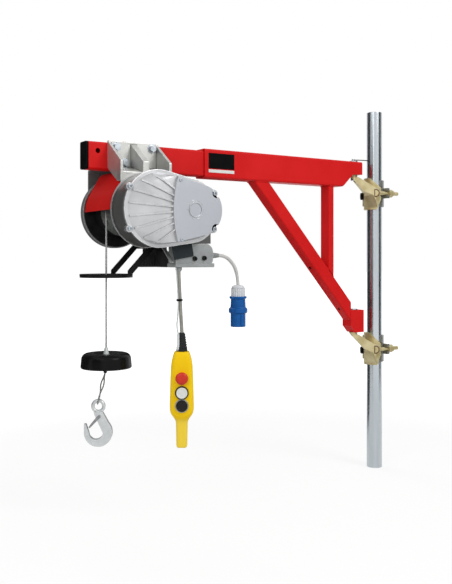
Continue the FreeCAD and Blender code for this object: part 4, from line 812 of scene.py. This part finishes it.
# case: height, width and depth of each level, from the grip's foot up to the boot
caseLook = {
    "axis": (-0.786, -0.138), "turn": -30, "corner": 0.24,
    "levels": [
        (0.193, 0.021, 0.019), (0.1945, 0.0252, 0.023), (0.199, 0.0276, 0.0256), (0.25, 0.0292, 0.0276),
        (0.257, 0.0302, 0.029), (0.262, 0.0325, 0.0318), (0.267, 0.0375, 0.037), (0.272, 0.0445, 0.0422),
        (0.277, 0.0515, 0.045), (0.282, 0.0562, 0.046), (0.289, 0.059, 0.046), (0.299, 0.06, 0.046),
        (0.363, 0.0572, 0.046), (0.396, 0.0545, 0.046), (0.409, 0.0512, 0.0455), (0.42, 0.0462, 0.044),
        (0.428, 0.041, 0.0415), (0.4325, 0.0365, 0.0385), (0.434, 0.0335, 0.036),
    ],
}


def makeCase():
    case = bmesh.new()
    bmesh.ops.create_circle(case, segments=4, radius=math.sqrt(0.5), cap_ends=True,
                            matrix=Matrix.Rotation(math.radians(45), 4, "Z"))
    bevel(case, case.verts[:], caseLook["corner"], 5, "VERTICES")
    foot, wide, deep = caseLook["levels"][0]
    bmesh.ops.transform(case, matrix=Matrix.Translation((0, 0, foot)) @ Matrix.Diagonal((wide, deep, 1, 1)),
                        verts=case.verts)
    top, inner = case.faces[:], []
    for height, newWide, newDeep in caseLook["levels"][1:]:
        grown = bmesh.ops.extrude_face_region(case, geom=top)["geom"]
        verts = vertsIn(grown)
        inner += top
        top = [part for part in grown if isinstance(part, bmesh.types.BMFace)]
        bmesh.ops.scale(case, vec=(newWide / wide, newDeep / deep, 1), verts=verts)
        bmesh.ops.translate(case, vec=(0, 0, height - verts[0].co.z), verts=verts)
        wide, deep = newWide, newDeep
    bmesh.ops.delete(case, geom=inner[1:], context="FACES_ONLY")  # each level's old top, the foot stays
    faceOut(case)
    bmesh.ops.transform(case, matrix=Matrix.Translation((*caseLook["axis"], 0))
                        @ Matrix.Rotation(math.radians(caseLook["turn"]), 4, "Z"), verts=case.verts)
    hangPiece("pendantCase", case, "pendant_yellow", "hoist", "pendant_case")


# pivot pins: a low head with a stub on it, and a shank that ends this far above the CAD pin's foot
pinLook = {"upper_pivot_pin": {"headTall": 0.0045, "stub": 0.0045, "stubTall": 0.0105, "lift": 0.027},
           "lower_pivot_pin": {"headTall": 0.0035, "stub": 0.003, "stubTall": 0.004, "lift": 0.033}}
pinRise, pinRadius = 0.018, 0.008  # the CAD pin's length above its seat, and its shank


def makePins():
    for node, look in pinLook.items():
        foot, tall = footOf(node)
        seat, head, lift = tall - pinRise, foot.x - boxOf(node)[0].x, look["lift"]
        pin = turnProfile([(0, lift), (pinRadius, lift, 0.0015), (pinRadius, seat), (head, seat, 0.0006),
                           (head, seat + look["headTall"], 0.0012), (look["stub"], seat + look["headTall"]),
                           (look["stub"], seat + look["stubTall"], 0.0008), (0, seat + look["stubTall"])],
                          stand(foot), 32)
        hangPiece(node + ".turned", pin, nodeSlot[node], nodeBody[node], node)


def makeBoot():
    look, (foot, tall) = pendantLook["boot"], footOf("pendant_boot")
    corners = [(0, 0), (look["foot"], 0, 0.001), (look["foot"], tall * 0.14, 0.001),
               (look["neck"], tall * 0.16)]
    corners += sleeveCorners(tall * 0.18, tall * 0.98, *look["sleeve"], look["ribs"])
    corners += [(look["tip"], tall), (0, tall)]
    hangPiece("pendantBoot", turnProfile(corners, stand(foot)), "boot_black", "hoist", "pendant_boot")
    look, (foot, tall) = pendantLook["gland"], footOf("pendant_gland")
    gland = turnProfile([(0, 0), (look["lip"], 0, 0.0006), (look["side"], tall * 0.35, 0.0008),
                         (look["body"], tall * 0.4), (look["body"], tall), (0, tall)], stand(foot), 12)
    hangPiece("pendantGland", gland, "boot_black", "hoist", "pendant_gland", finish="box_grey")


makeButtons()
makeCase()
makePins()
makeBoot()
print("inlet, weight, pendant and pins made")


# gear cover: a pear-shaped flange, a sloping dome, a flat face with an arched left edge, and ribs that
# fan out from the boss; axes and heights are the CAD's
housingAxis = (-0.87, 0.788)
coverLook = {
    "smallAxis": (-0.785, 0.785), "boss": (-0.7985, 0.785), "edge": 0.0012,
    "paintDepth": 0.006,  # faces this near to the front are painted
    "flange": {"big": 0.095, "small": 0.08, "back": -0.171, "front": -0.179},
    "dome": {"big": 0.087, "small": 0.072, "foot": -0.1785, "top": -0.2205, "topSpread": 0.001,
             "archSpread": 0.002},
    "shoulder": {"reach": -0.875, "half": 0.081, "depth": -0.203, "small": 0.067},
    "face": {"arch": (-0.607, 0.785), "archRadius": 0.2515, "half": 0.078, "small": 0.062, "depth": -0.228,
             "skirt": -0.205, "skirtSpread": 0.0035},
    "ribs": {"count": 8, "first": 41.3, "pitch": 11.87, "thick": 0.0046, "rimEnd": 0.0845, "rimProud": 0.003,
             "sunk": 0.006, "steps": 7, "overlap": 0.003, "crestDrop": 0.0006, "leastDrop": 0.0004,
             "edge": 0.001, "rayFrom": -0.4, "flank": 0.4},
    "bossRing": {"inner": 0.016, "outer": 0.019, "tall": 0.003, "edge": 0.0008, "sunk": 0.0004, "pips": 10,
                 "pipRing": 0.0228, "pipSize": (0.002, 0.005, 0.0018), "pipEdge": 0.0004},
    "lugs": {"spots": [(-0.952, 0.838), (-0.952, 0.738)], "radius": 0.009, "front": -0.183},
    "posts": {"spots": [(-0.7385, 0.8275), (-0.74, 0.7395)], "radius": 0.0095, "front": -0.2165,
              "pocket": 0.0125, "pocketDeep": 0.04},
}


def facing(spot, depth):
    # a frame whose Z points out of the cover's front, at a place on the cover
    return stand((spot[0], depth, spot[1]), (0, -1, 0))


def addRing(mesh, spot, radius, depth, steps=96):
    bmesh.ops.create_circle(mesh, segments=steps, radius=radius, matrix=facing(spot, depth))


def addArch(mesh, depth, spread=0.0):
    # the face's left edge: one point swung round the arch's centre
    face = coverLook["face"]
    (archX, archZ), radius = face["arch"], face["archRadius"] + spread
    lift = math.asin(face["half"] / radius)
    first = mesh.verts.new((archX - radius * math.cos(lift), depth, archZ - radius * math.sin(lift)))
    swing(mesh, [first], (archX, depth, archZ), (0, 1, 0), 2 * lift, 14)


def wrapHull(mesh):
    wrapped = bmesh.ops.convex_hull(mesh, input=mesh.verts[:], use_existing_faces=False)
    bmesh.ops.delete(mesh, geom=list(set(wrapped["geom_interior"] + wrapped["geom_unused"])), context="VERTS")
    bmesh.ops.delete(mesh, geom=[edge for edge in mesh.edges if not edge.link_faces], context="EDGES")
    mergeFlat(mesh, 0.5)
    return faceOut(mesh)


def cutPockets(mesh):
    # wells round the two right screws, through the dome and the face
    posts = coverLook["posts"]
    radius, deep = posts["pocket"], posts["pocketDeep"]
    cutter = bmesh.new()
    for spot in posts["spots"]:
        addShape(cutter, turnProfile([(0, 0), (radius, 0), (radius, deep), (0, deep)],
                                     facing(spot, posts["front"]), 40))
    return cutAway(mesh, cutter)


def alongRay(start, direction, centre, radius):
    # how far a ray in the cover's plane goes before it crosses a circle
    offset = Vector(start) - Vector(centre)
    half = offset.dot(direction)
    return -half + math.sqrt(half * half - offset.length_squared + radius * radius)


def makeRib(surface, angle):
    look, face, domeFoot = coverLook["ribs"], coverLook["face"], coverLook["dome"]["foot"]
    boss = Vector(coverLook["boss"])
    way = Vector((-math.cos(angle), math.sin(angle)))
    near = alongRay(boss, way, face["arch"], face["archRadius"]) - look["overlap"]
    far = alongRay(boss, way, housingAxis, look["rimEnd"])
    rib = bmesh.new()
    pair = [rib.verts.new(), rib.verts.new()]
    rail = [rib.edges.new(pair)]
    for step in range(look["steps"] + 1):
        share = step / look["steps"]
        spot = boss + way * (near + (far - near) * share)
        hit = surface.ray_cast(Vector((spot.x, look["rayFrom"], spot.y)), Vector((0, 1, 0)))[0]
        ground = hit.y if hit else domeFoot
        crest = face["depth"] + look["crestDrop"] + (domeFoot - look["rimProud"] - face["depth"]) * share
        crest = max(min(crest, ground - look["rimProud"]), face["depth"] + look["leastDrop"])
        if step:
            grown = bmesh.ops.extrude_edge_only(rib, edges=rail)["geom"]
            rail = edgesIn(grown)
            pair = sorted(vertsIn(grown), key=lambda vert: vert.co.y)
        pair[0].co = (spot.x, crest, spot.y)
        pair[1].co = (spot.x, max(ground, crest) + look["sunk"], spot.y)
    thicken(rib, look["thick"])
    middle = Vector((-way.y, 0, way.x)) * look["thick"] / 2
    sides = sum(((vert.co.xz - boss).cross(way) for vert in rib.verts), 0.0)
    move(rib, middle if sides > 0 else -middle)
    roundEdges(rib, look["edge"])
    # painted shadow: the rib's flanks take the dark corner colour, drawing a dark line beside each rib
    cornerShade = rib.faces.layers.float["cornerDirt"]
    for side in [flank for flank in rib.faces if abs(flank.normal.y) < look["flank"]]:
        side[cornerShade] = 1.0
    return rib


def markPaint(mesh):
    painted = mesh.faces.layers.float.new("paintedFace")
    front = min(vert.co.y for vert in mesh.verts)
    mesh.normal_update()
    for face in mesh.faces:
        if face.normal.y < -0.99 and face.calc_center_median().y < front + coverLook["paintDepth"]:
            face[painted] = 1.0


def makeDome():
    dome, shoulder = coverLook["dome"], coverLook["shoulder"]
    small = coverLook["smallAxis"]
    mesh = bmesh.new()
    addRing(mesh, housingAxis, dome["big"], dome["foot"], 128)
    addRing(mesh, small, dome["small"], dome["foot"])
    for side in (1, -1):
        mesh.verts.new((shoulder["reach"], shoulder["depth"], small[1] + side * shoulder["half"]))
    addRing(mesh, small, shoulder["small"], shoulder["depth"])
    addRing(mesh, small, coverLook["face"]["small"] + dome["topSpread"], dome["top"])
    addArch(mesh, dome["top"], dome["archSpread"])
    return wrapHull(mesh)


def addBoss(cover):
    ring, spot, depth = coverLook["bossRing"], coverLook["boss"], coverLook["face"]["depth"]
    inner, outer, tall, edge = ring["inner"], ring["outer"], ring["tall"], ring["edge"]
    profile = [(inner, 0), (inner, tall, edge), (outer, tall, edge), (outer, 0), (inner, 0)]
    addShape(cover, turnProfile(profile, facing(spot, depth + ring["sunk"]), 56))
    outward = Matrix.Translation((ring["pipRing"], 0, 0))
    for index in range(ring["pips"]):
        turn = Matrix.Rotation(math.tau * index / ring["pips"], 4, "Z") @ outward
        addShape(cover, roundEdges(makeBlock(ring["pipSize"], facing(spot, depth) @ turn), ring["pipEdge"]))


def makeCover():
    flange, face, ribs = coverLook["flange"], coverLook["face"], coverLook["ribs"]
    small, edge = coverLook["smallAxis"], coverLook["edge"]
    rim = bmesh.new()
    for depth in (flange["back"], flange["front"]):
        addRing(rim, housingAxis, flange["big"], depth)
        addRing(rim, small, flange["small"], depth)
    cover = roundEdges(wrapHull(rim), edge)
    dome = makeDome()
    surface = BVHTree.FromBMesh(dome)
    for index in range(ribs["count"]):
        addShape(cover, makeRib(surface, math.radians(ribs["first"] - index * ribs["pitch"])))
    addShape(cover, roundEdges(cutPockets(dome), edge))
    plate = bmesh.new()
    for depth, spread in ((face["skirt"], face["skirtSpread"]), (face["depth"], 0.0)):
        addRing(plate, small, face["small"] + spread, depth)
        addArch(plate, depth, spread)
    addShape(cover, roundEdges(cutPockets(wrapHull(plate)), edge))
    for seats in (coverLook["lugs"], coverLook["posts"]):
        radius, tall = seats["radius"], flange["back"] - seats["front"]
        for spot in seats["spots"]:
            addShape(cover, turnProfile([(0, 0), (radius, 0), (radius, tall, edge), (0, tall)],
                                        facing(spot, flange["back"]), 32))
    addBoss(cover)
    markPaint(cover)
    hangPiece("gearCover", cover, nodeSlot["gear_cover"], nodeBody["gear_cover"], "gear_cover")


makeCover()
print("gear cover made")


# guard's upper sheet: leaves the guard at a tangent and runs up to the arm, cut on a slant under the hanger
sheetLook = {"radius": 0.0898, "leaves": 30, "front": -0.095, "middle": -0.022, "back": 0.069,
             "frontRise": 0.0235, "rise": 0.0655, "lip": (0.016, 0, 0.0006), "bend": 0.012, "thick": 0.0018}


def makeGuardSheet():
    look, near = sheetLook, 0.001
    angle = math.radians(look["leaves"])
    foot = Vector((housingAxis[0] - look["radius"] * math.cos(angle), 0,
                   housingAxis[1] + look["radius"] * math.sin(angle)))
    upward = Vector((math.sin(angle), 0, math.cos(angle)))
    sheet = bmesh.new()
    ends = [sheet.verts.new(foot + Vector((0, look[key], 0))) for key in ("front", "middle", "back")]
    low = [sheet.edges.new(ends[:2]), sheet.edges.new(ends[1:])]
    raised = bmesh.ops.extrude_edge_only(sheet, edges=low)["geom"]
    for vert in vertsIn(raised):
        vert.co += upward * (look["frontRise"] if vert.co.y < look["middle"] - near else look["rise"])
    top = [edge for edge in edgesIn(raised) if min(vert.co.y for vert in edge.verts) > look["front"] + near]
    lipped = bmesh.ops.extrude_edge_only(sheet, edges=top)["geom"]
    bmesh.ops.translate(sheet, vec=look["lip"], verts=vertsIn(lipped))
    bevel(sheet, [edge for edge in sheet.edges if edge.calc_face_angle(0.0) > 0.3], look["bend"], 6)
    hangPiece("guardSheet", thicken(sheet, look["thick"]), "red_paint", "hoist", finish="guard_red")


# hanger's front apron: closes the gap between its web and the round of the housing
apronLook = {"left": -0.936, "right": -0.857, "front": -0.0994, "back": -0.0955, "top": 0.8775,
             "radius": 0.0865, "steps": 10}


def makeApron():
    look, steps = apronLook, apronLook["steps"]
    apron = bmesh.new()
    corner = apron.verts.new((look["left"], look["front"], look["top"]))
    swing(apron, [corner], corner.co, (0, 1, 0), 0.0, steps, ((look["right"] - look["left"]) / steps, 0, 0))
    grown = bmesh.ops.extrude_edge_only(apron, edges=apron.edges[:])["geom"]
    for vert in vertsIn(grown):
        across = vert.co.x - housingAxis[0]
        vert.co.z = housingAxis[1] + math.sqrt(look["radius"] ** 2 - across ** 2)
    thicken(apron, look["back"] - look["front"])
    move(apron, (0, look["front"] - min(vert.co.y for vert in apron.verts), 0))
    hangPiece("hangerApron", apron, nodeSlot["hanger"], "hoist")


# bright machined edge of the housing, behind the drum's end
edgeRing = {"inner": 0.0885, "outer": 0.0944, "front": -0.1035, "back": -0.0997, "edge": 0.0006}


def makeEdgeRing():
    tall = edgeRing["back"] - edgeRing["front"]
    inner, outer, edge = edgeRing["inner"], edgeRing["outer"], edgeRing["edge"]
    ring = turnProfile([(inner, 0), (outer, 0, edge), (outer, tall, edge), (inner, tall), (inner, 0)],
                       facing(housingAxis, edgeRing["back"]), 96)
    hangPiece("housingEdge", ring, nodeSlot["gear_cover"], "hoist")


makeGuardSheet()
makeApron()
makeEdgeRing()
print("guard sheet, apron and housing edge made")


# rope's end loop: two twisted legs from under the weight, through the hook's eye and back
loopLook = {"high": (-0.9305, 0.0, 0.3865), "low": (-0.9478, 0.01, 0.303), "side": (0.0039, 0.00675, 0.0),
            "spread": 0.0052, "tight": 0.3, "belly": 0.0085, "strands": 4, "strand": 0.00085, "lay": 0.0012,
            "pitch": 0.014,
            "sleeve": [(0, -0.014), (0.0042, -0.014, 0.0006), (0.0048, -0.001, 0.0008),
                       (0.0048, 0.0), (0, 0.0)],
            "sleeveRise": (0, 0, 0.001)}


def readRoute(name, route):
    # points along the route's spline, read from the curve without a bevel
    curveData = routeCurve(name, route)
    curveData.resolution_u = 12
    routeObject = bpy.data.objects.new(name, curveData)
    routeMesh = bpy.data.meshes.new_from_object(routeObject)
    spots = [vert.co.copy() for vert in routeMesh.vertices]
    bpy.data.objects.remove(routeObject)
    bpy.data.meshes.remove(routeMesh)
    bpy.data.curves.remove(curveData)
    return spots


def twistStrands(name, spots, look):
    curveData = newCurve(name)
    for index in range(look["strands"]):
        strand = curveData.splines.new("POLY")
        strand.points.add(len(spots) - 1)
        gone = 0.0
        for step, spot in enumerate(spots):
            ahead = spots[min(step + 1, len(spots) - 1)] - spots[max(step - 1, 0)]
            if step:
                gone += (spot - spots[step - 1]).length
            angle = math.tau * (index / look["strands"] + gone / look["pitch"])
            turned = Matrix.Rotation(angle, 3, ahead.normalized()) @ ahead.orthogonal().normalized()
            strand.points[step].co = (*(spot + turned * look["lay"]), 1)
    return curveData


def makeLoop():
    high, low, side = (Vector(loopLook[key]) for key in ("high", "low", "side"))
    rise = high - low
    across = rise.cross(side).normalized() * loopLook["spread"]
    tight = side * loopLook["tight"]
    belly = low - rise.normalized() * loopLook["belly"]
    route = [high + tight, high + tight - rise * 0.25, low + rise * 0.5 + tight + across,
             low + rise * 0.22 + side, low + side, belly + side * 0.7, belly - side * 0.7, low - side,
             low + rise * 0.22 - side, low + rise * 0.5 - tight - across, high - tight - rise * 0.25,
             high - tight]
    strands = twistStrands("ropeLoop", readRoute("loopRoute", route), loopLook)
    hangCurve("ropeLoop", strands, 2 * loopLook["strand"], 1, "wire_rope", "hook", "rope_link")
    sleeve = turnProfile(loopLook["sleeve"], stand(high + Vector(loopLook["sleeveRise"]), rise), 20)
    hangPiece("loopSleeve", sleeve, "weight_black", "hook")


# drum: a thin black sheet over the flange's inner face and the bare end of the core, painted shade
drumLook = {"flange": 0.075, "core": 0.0584, "rim": 0.0895, "thick": 0.0008}


def shadeDrumEnd():
    low, high = boxOf("rope_drum")
    axis = ((low.x + high.x) / 2, drumLook["flange"], (low.z + high.z) / 2)
    core, rim, thick = drumLook["core"], drumLook["rim"], drumLook["thick"]
    bare = drumLook["flange"] - windingLook["end"]
    shadeSheet = turnProfile([(rim, 0), (rim, thick, 0.0003), (core + thick, thick), (core + thick, bare),
                          (core, bare), (core, 0), (rim, 0)], stand(axis, (0, -1, 0)), 72)
    hangPiece("drumEndShade", shadeSheet, "switch_black", "drum")


makeLoop()
shadeDrumEnd()


# bolts on the hoist's front: a bevelled hexagon on a washer, or a round head with a socket
boltLook = {
    "hangerBolt": {"spots": [(-0.915, -0.028, 0.9515), (-0.8905, -0.028, 0.912), (-0.8135, -0.028, 0.954)],
                   "head": 0.0098, "tall": 0.007, "washer": 0.012, "washerTall": 0.0018},
    "lugScrew": {"spots": [(-0.952, -0.183, 0.838), (-0.952, -0.183, 0.738), (-0.7385, -0.2165, 0.8275),
                           (-0.74, -0.2165, 0.7395)], "socket": 0.0058, "tall": 0.0055},
    "coverScrew": {"spots": [(-0.8394, -0.228, 0.8544), (-0.8367, -0.228, 0.7125)], "socket": 0.0042,
                   "tall": 0.002},
    "boxScrew": {"spots": [(-0.802, -0.15, 0.651), (-0.709, -0.15, 0.651)], "socket": 0.0032, "tall": 0.0018},
}
boltFront, boltEdge = Vector((0, -1, 0)), 0.0007


def hexHead(radius, tall, at):
    head = bmesh.new()
    bmesh.ops.create_cone(head, cap_ends=True, segments=6, radius1=radius, radius2=radius, depth=tall)
    move(head, (0, 0, tall / 2))
    bevel(head, head.edges[:], boltEdge)
    bmesh.ops.transform(head, matrix=at, verts=head.verts)
    return head


def socketHead(radius, tall, at):
    return turnProfile([(0, tall * 0.3), (radius * 0.5, tall * 0.3), (radius * 0.5, tall),
                        (radius, tall, tall * 0.25), (radius, 0), (0, 0)], at, 24)


def setBolts():
    for name, look in boltLook.items():
        bolts = bmesh.new()
        for spot in look["spots"]:
            at = stand(spot, boltFront)
            if "socket" in look:
                addShape(bolts, socketHead(look["socket"], look["tall"], at))
                continue
            washer, thick = look["washer"], look["washerTall"]
            ring = [(0, 0), (washer, 0, 0.0003), (washer, thick, 0.0004), (0, thick)]
            addShape(bolts, turnProfile(ring, at, 28))
            onWasher = stand(Vector(spot) + boltFront * thick, boltFront)
            addShape(bolts, hexHead(look["head"], look["tall"], onWasher))
        hangPiece(name + "s", bolts, "pin_steel", "hoist")


# plates: thin rounded rectangles, bare of any marks
plateLook = {
    "armPlate": {"low": (-0.638, -0.0258, 0.9142), "high": (-0.5544, -0.025, 0.9568), "corner": 0.001,
                 "slot": "cap_black", "body": "jib"},
    "armStrip": {"low": (-0.638, -0.0258, 0.9032), "high": (-0.5544, -0.025, 0.9118), "corner": 0.001,
                 "slot": "button_white", "body": "jib"},
    "boxBase": {"low": (-0.812, -0.152, 0.645), "high": (-0.698, -0.108, 0.655), "corner": 0.0015,
                "slot": "box_grey", "body": "hoist"},
}


def layPlates():
    for name, look in plateLook.items():
        low, high = Vector(look["low"]), Vector(look["high"])
        corner = min(look["corner"], min(high - low) * 0.4)
        plate = softBlock(high - low, Matrix.Translation((low + high) / 2), corner, 3)
        hangPiece(name, plate, look["slot"], look["body"])


# glands on the terminal box's front, and the grey stay beside its cover plate
frontGlands = {"spots": [(-0.756, -0.15, 0.667), (-0.728, -0.15, 0.668)], "radius": 0.0062, "tall": 0.006}
stayLook = {"high": (-0.8245, -0.11, 0.697), "low": (-0.8205, -0.151, 0.657), "thick": 0.003, "wide": 0.011,
            "edge": 0.0008}


def setGlands():
    glands = bmesh.new()
    radius, tall = frontGlands["radius"], frontGlands["tall"]
    profile = [(0, tall * 0.2), (radius * 0.55, tall * 0.2), (radius * 0.6, tall, 0.0006),
               (radius * 0.86, tall, 0.0008), (radius, tall * 0.4, 0.0006), (radius, 0), (0, 0)]
    for spot in frontGlands["spots"]:
        addShape(glands, turnProfile(profile, stand(spot, boltFront), 28))
    hangPiece("boxGlands", glands, "boot_black", "hoist")


def setStay():
    high, low = Vector(stayLook["high"]), Vector(stayLook["low"])
    size = (stayLook["wide"], stayLook["thick"], (high - low).length)
    stay = makeBlock(size, stand((high + low) / 2, high - low))
    hangPiece("boxStay", roundEdges(stay, stayLook["edge"]), "box_grey", "hoist")


# wires: bent rods drawn along their own few points
wireLook = {
    "pinClip": {"route": [(-0.089, -0.002, 0.976), (-0.0486, -0.025, 0.9752), (-0.0486, -0.0262, 0.971),
                          (-0.0486, -0.0262, 0.93)], "thick": 0.003, "slot": "lever_black", "body": "jib"},
    "supportWire": {"route": [(-0.8025, -0.1395, 0.6445), (-0.8, -0.1395, 0.6), (-0.7968, -0.1395, 0.562),
                              (-0.7985, -0.1395, 0.517), (-0.8025, -0.1395, 0.5), (-0.7975, -0.1395, 0.478)],
                    "thick": 0.0032, "slot": "hook_zinc", "body": "hoist"},
}


def bendWires():
    for name, look in wireLook.items():
        hangCurve(name, routeCurve(name, look["route"]), look["thick"], 3, look["slot"], look["body"])


# pendant's tie, and the clamp that holds the support wire beside the boot
tieLook = {"spot": (-0.793, -0.1383, 0.563), "radius": 0.0064, "thick": 0.0016, "tall": 0.005, "oval": 1.3}
clampLook = {"spot": (-0.7985, -0.1415, 0.4575), "turn": -30, "size": (0.006, 0.003, 0.041), "corner": 0.0008}


def tieCable():
    radius, half = tieLook["radius"], tieLook["tall"] / 2
    inner = radius - tieLook["thick"]
    tie = turnProfile([(inner, -half), (radius, -half, 0.0005), (radius, half, 0.0005), (inner, half),
                       (inner, -half)], stand(tieLook["spot"]), 32)
    bmesh.ops.scale(tie, vec=(tieLook["oval"], 1.0, 1.0), space=Matrix.Translation(-Vector(tieLook["spot"])),
                    verts=tie.verts)
    hangPiece("cableTie", tie, "cap_black", "hoist")
    turn = Matrix.Rotation(math.radians(clampLook["turn"]), 4, "Z")
    clamp = softBlock(clampLook["size"], Matrix.Translation(clampLook["spot"]) @ turn, clampLook["corner"])
    hangPiece("wireClamp", clamp, "hook_zinc", "hoist")


setBolts()
layPlates()
setGlands()
setStay()
bendWires()
tieCable()
print("loop, bolts, plates and wires set")


# coupler fittings: a black screw in each collar's side, its place above the coupler's foot
couplerFittings = {"spot": (-0.0268, 0.0172, 0.0434), "front": (-0.8415, 0.5402, 0), "head": 0.0115,
                   "tall": 0.0125}
# a dark D round a pale one on each coupler's wing, curved to the right; the dark D is painted shade round the
# recess's edge
recessLook = {"spots": {"upper": (-0.0409, -0.0484, 0.8712), "lower": (-0.0409, -0.0484, 0.3813)},
              "front": (-0.578, -0.816, 0.0),
              "layers": {
                  "Recess": {"radius": 0.0125, "flat": -0.0035, "tall": 0.0007, "finish": "recess_edge_shade"},
                  "RecessFloor": {"radius": 0.0096, "flat": -0.001, "tall": 0.001, "finish": None}}}


def fitCouplers():
    for name in ("upper", "lower"):
        spot = Vector(couplerFittings["spot"]) + Vector((0, 0, boxOf(name + "_coupler")[0].z))
        at = stand(spot, couplerFittings["front"])
        screw = hexHead(couplerFittings["head"], couplerFittings["tall"], at)
        hangPiece(name + "SetScrew", screw, "cap_black", "post")


def markRecesses():
    for name, spot in recessLook["spots"].items():
        for layer, look in recessLook["layers"].items():
            recess = bmesh.new()
            bmesh.ops.create_cone(recess, cap_ends=True, segments=36, radius1=look["radius"],
                                  radius2=look["radius"], depth=2 * look["tall"])
            cutOff(recess, (look["flat"], 0, 0), (-1, 0, 0))
            bmesh.ops.transform(recess, matrix=stand(spot, recessLook["front"]), verts=recess.verts)
            hangPiece(name + layer, faceOut(recess), "yellow_zinc", "post", finish=look["finish"])


# two small holes in the brace's lower face, drawn as black cups: painted shade inside the holes
holeLook = {"spots": [(-0.2636, 0.0, 0.6377), (-0.1488, 0.0, 0.5097)], "front": (-0.75, 0.0, -0.661),
            "radius": 0.0042, "tall": 0.0006, "sunk": -0.001}


def markHoles():
    holes = bmesh.new()
    radius, tall, sunk = holeLook["radius"], holeLook["tall"], holeLook["sunk"]
    profile = [(0, sunk), (radius, sunk), (radius, tall, 0.0002), (radius * 0.85, tall),
               (radius * 0.8, tall * 0.4), (0, tall * 0.4)]
    for spot in holeLook["spots"]:
        addShape(holes, turnProfile(profile, stand(spot, holeLook["front"]), 24))
    hangPiece("braceHoles", holes, "cap_black", "jib")


# weld beads: rippled fillets where the red tubes meet, each from one point to another
weldLook = {
    "thick": 0.0038, "step": 0.0026, "ripple": 0.78, "fewest": 6,
    "seams": {
        "braceFront": ((-0.4785, -0.0205, 0.8875), (-0.4325, -0.0205, 0.8875)),
        "braceBack": ((-0.4785, 0.0205, 0.8875), (-0.4325, 0.0205, 0.8875)),
        "braceLeft": ((-0.4815, -0.0155, 0.8875), (-0.4815, 0.0155, 0.8875)),
        "braceRight": ((-0.4285, -0.0155, 0.8875), (-0.4285, 0.0155, 0.8875)),
        "strutFront": ((-0.2045, -0.0205, 0.8875), (-0.1875, -0.0205, 0.8875)),
        "strutBack": ((-0.2045, 0.0205, 0.8875), (-0.1875, 0.0205, 0.8875)),
        "strutLeft": ((-0.2065, -0.0175, 0.8875), (-0.2065, 0.0175, 0.8875)),
        "strutRight": ((-0.1855, -0.0175, 0.8875), (-0.1855, 0.0175, 0.8875)),
        "footLeft": ((-0.2065, -0.0175, 0.635), (-0.2065, 0.0175, 0.635)),
        "footRight": ((-0.1855, -0.0175, 0.6115), (-0.1855, 0.0175, 0.6115)),
        "bushFront": ((-0.117, -0.0203, 0.478), (-0.117, -0.0203, 0.502)),
        "bushBack": ((-0.117, 0.0203, 0.478), (-0.117, 0.0203, 0.502)),
    },
}


def weldFrame():
    for name, ends in weldLook["seams"].items():
        start, end = Vector(ends[0]), Vector(ends[1])
        steps = max(weldLook["fewest"], round((end - start).length / weldLook["step"]))
        beadData = newCurve("weld." + name)
        bead = beadData.splines.new("POLY")
        bead.points.add(steps)
        for index, point in enumerate(bead.points):
            point.co = (*start.lerp(end, index / steps), 1)
            point.radius = weldLook["ripple"] if index % 2 else 1.0
        hangCurve("weld." + name, beadData, weldLook["thick"], 2, "red_paint", "jib")


fitCouplers()
markRecesses()
markHoles()
weldFrame()
print("fittings set")
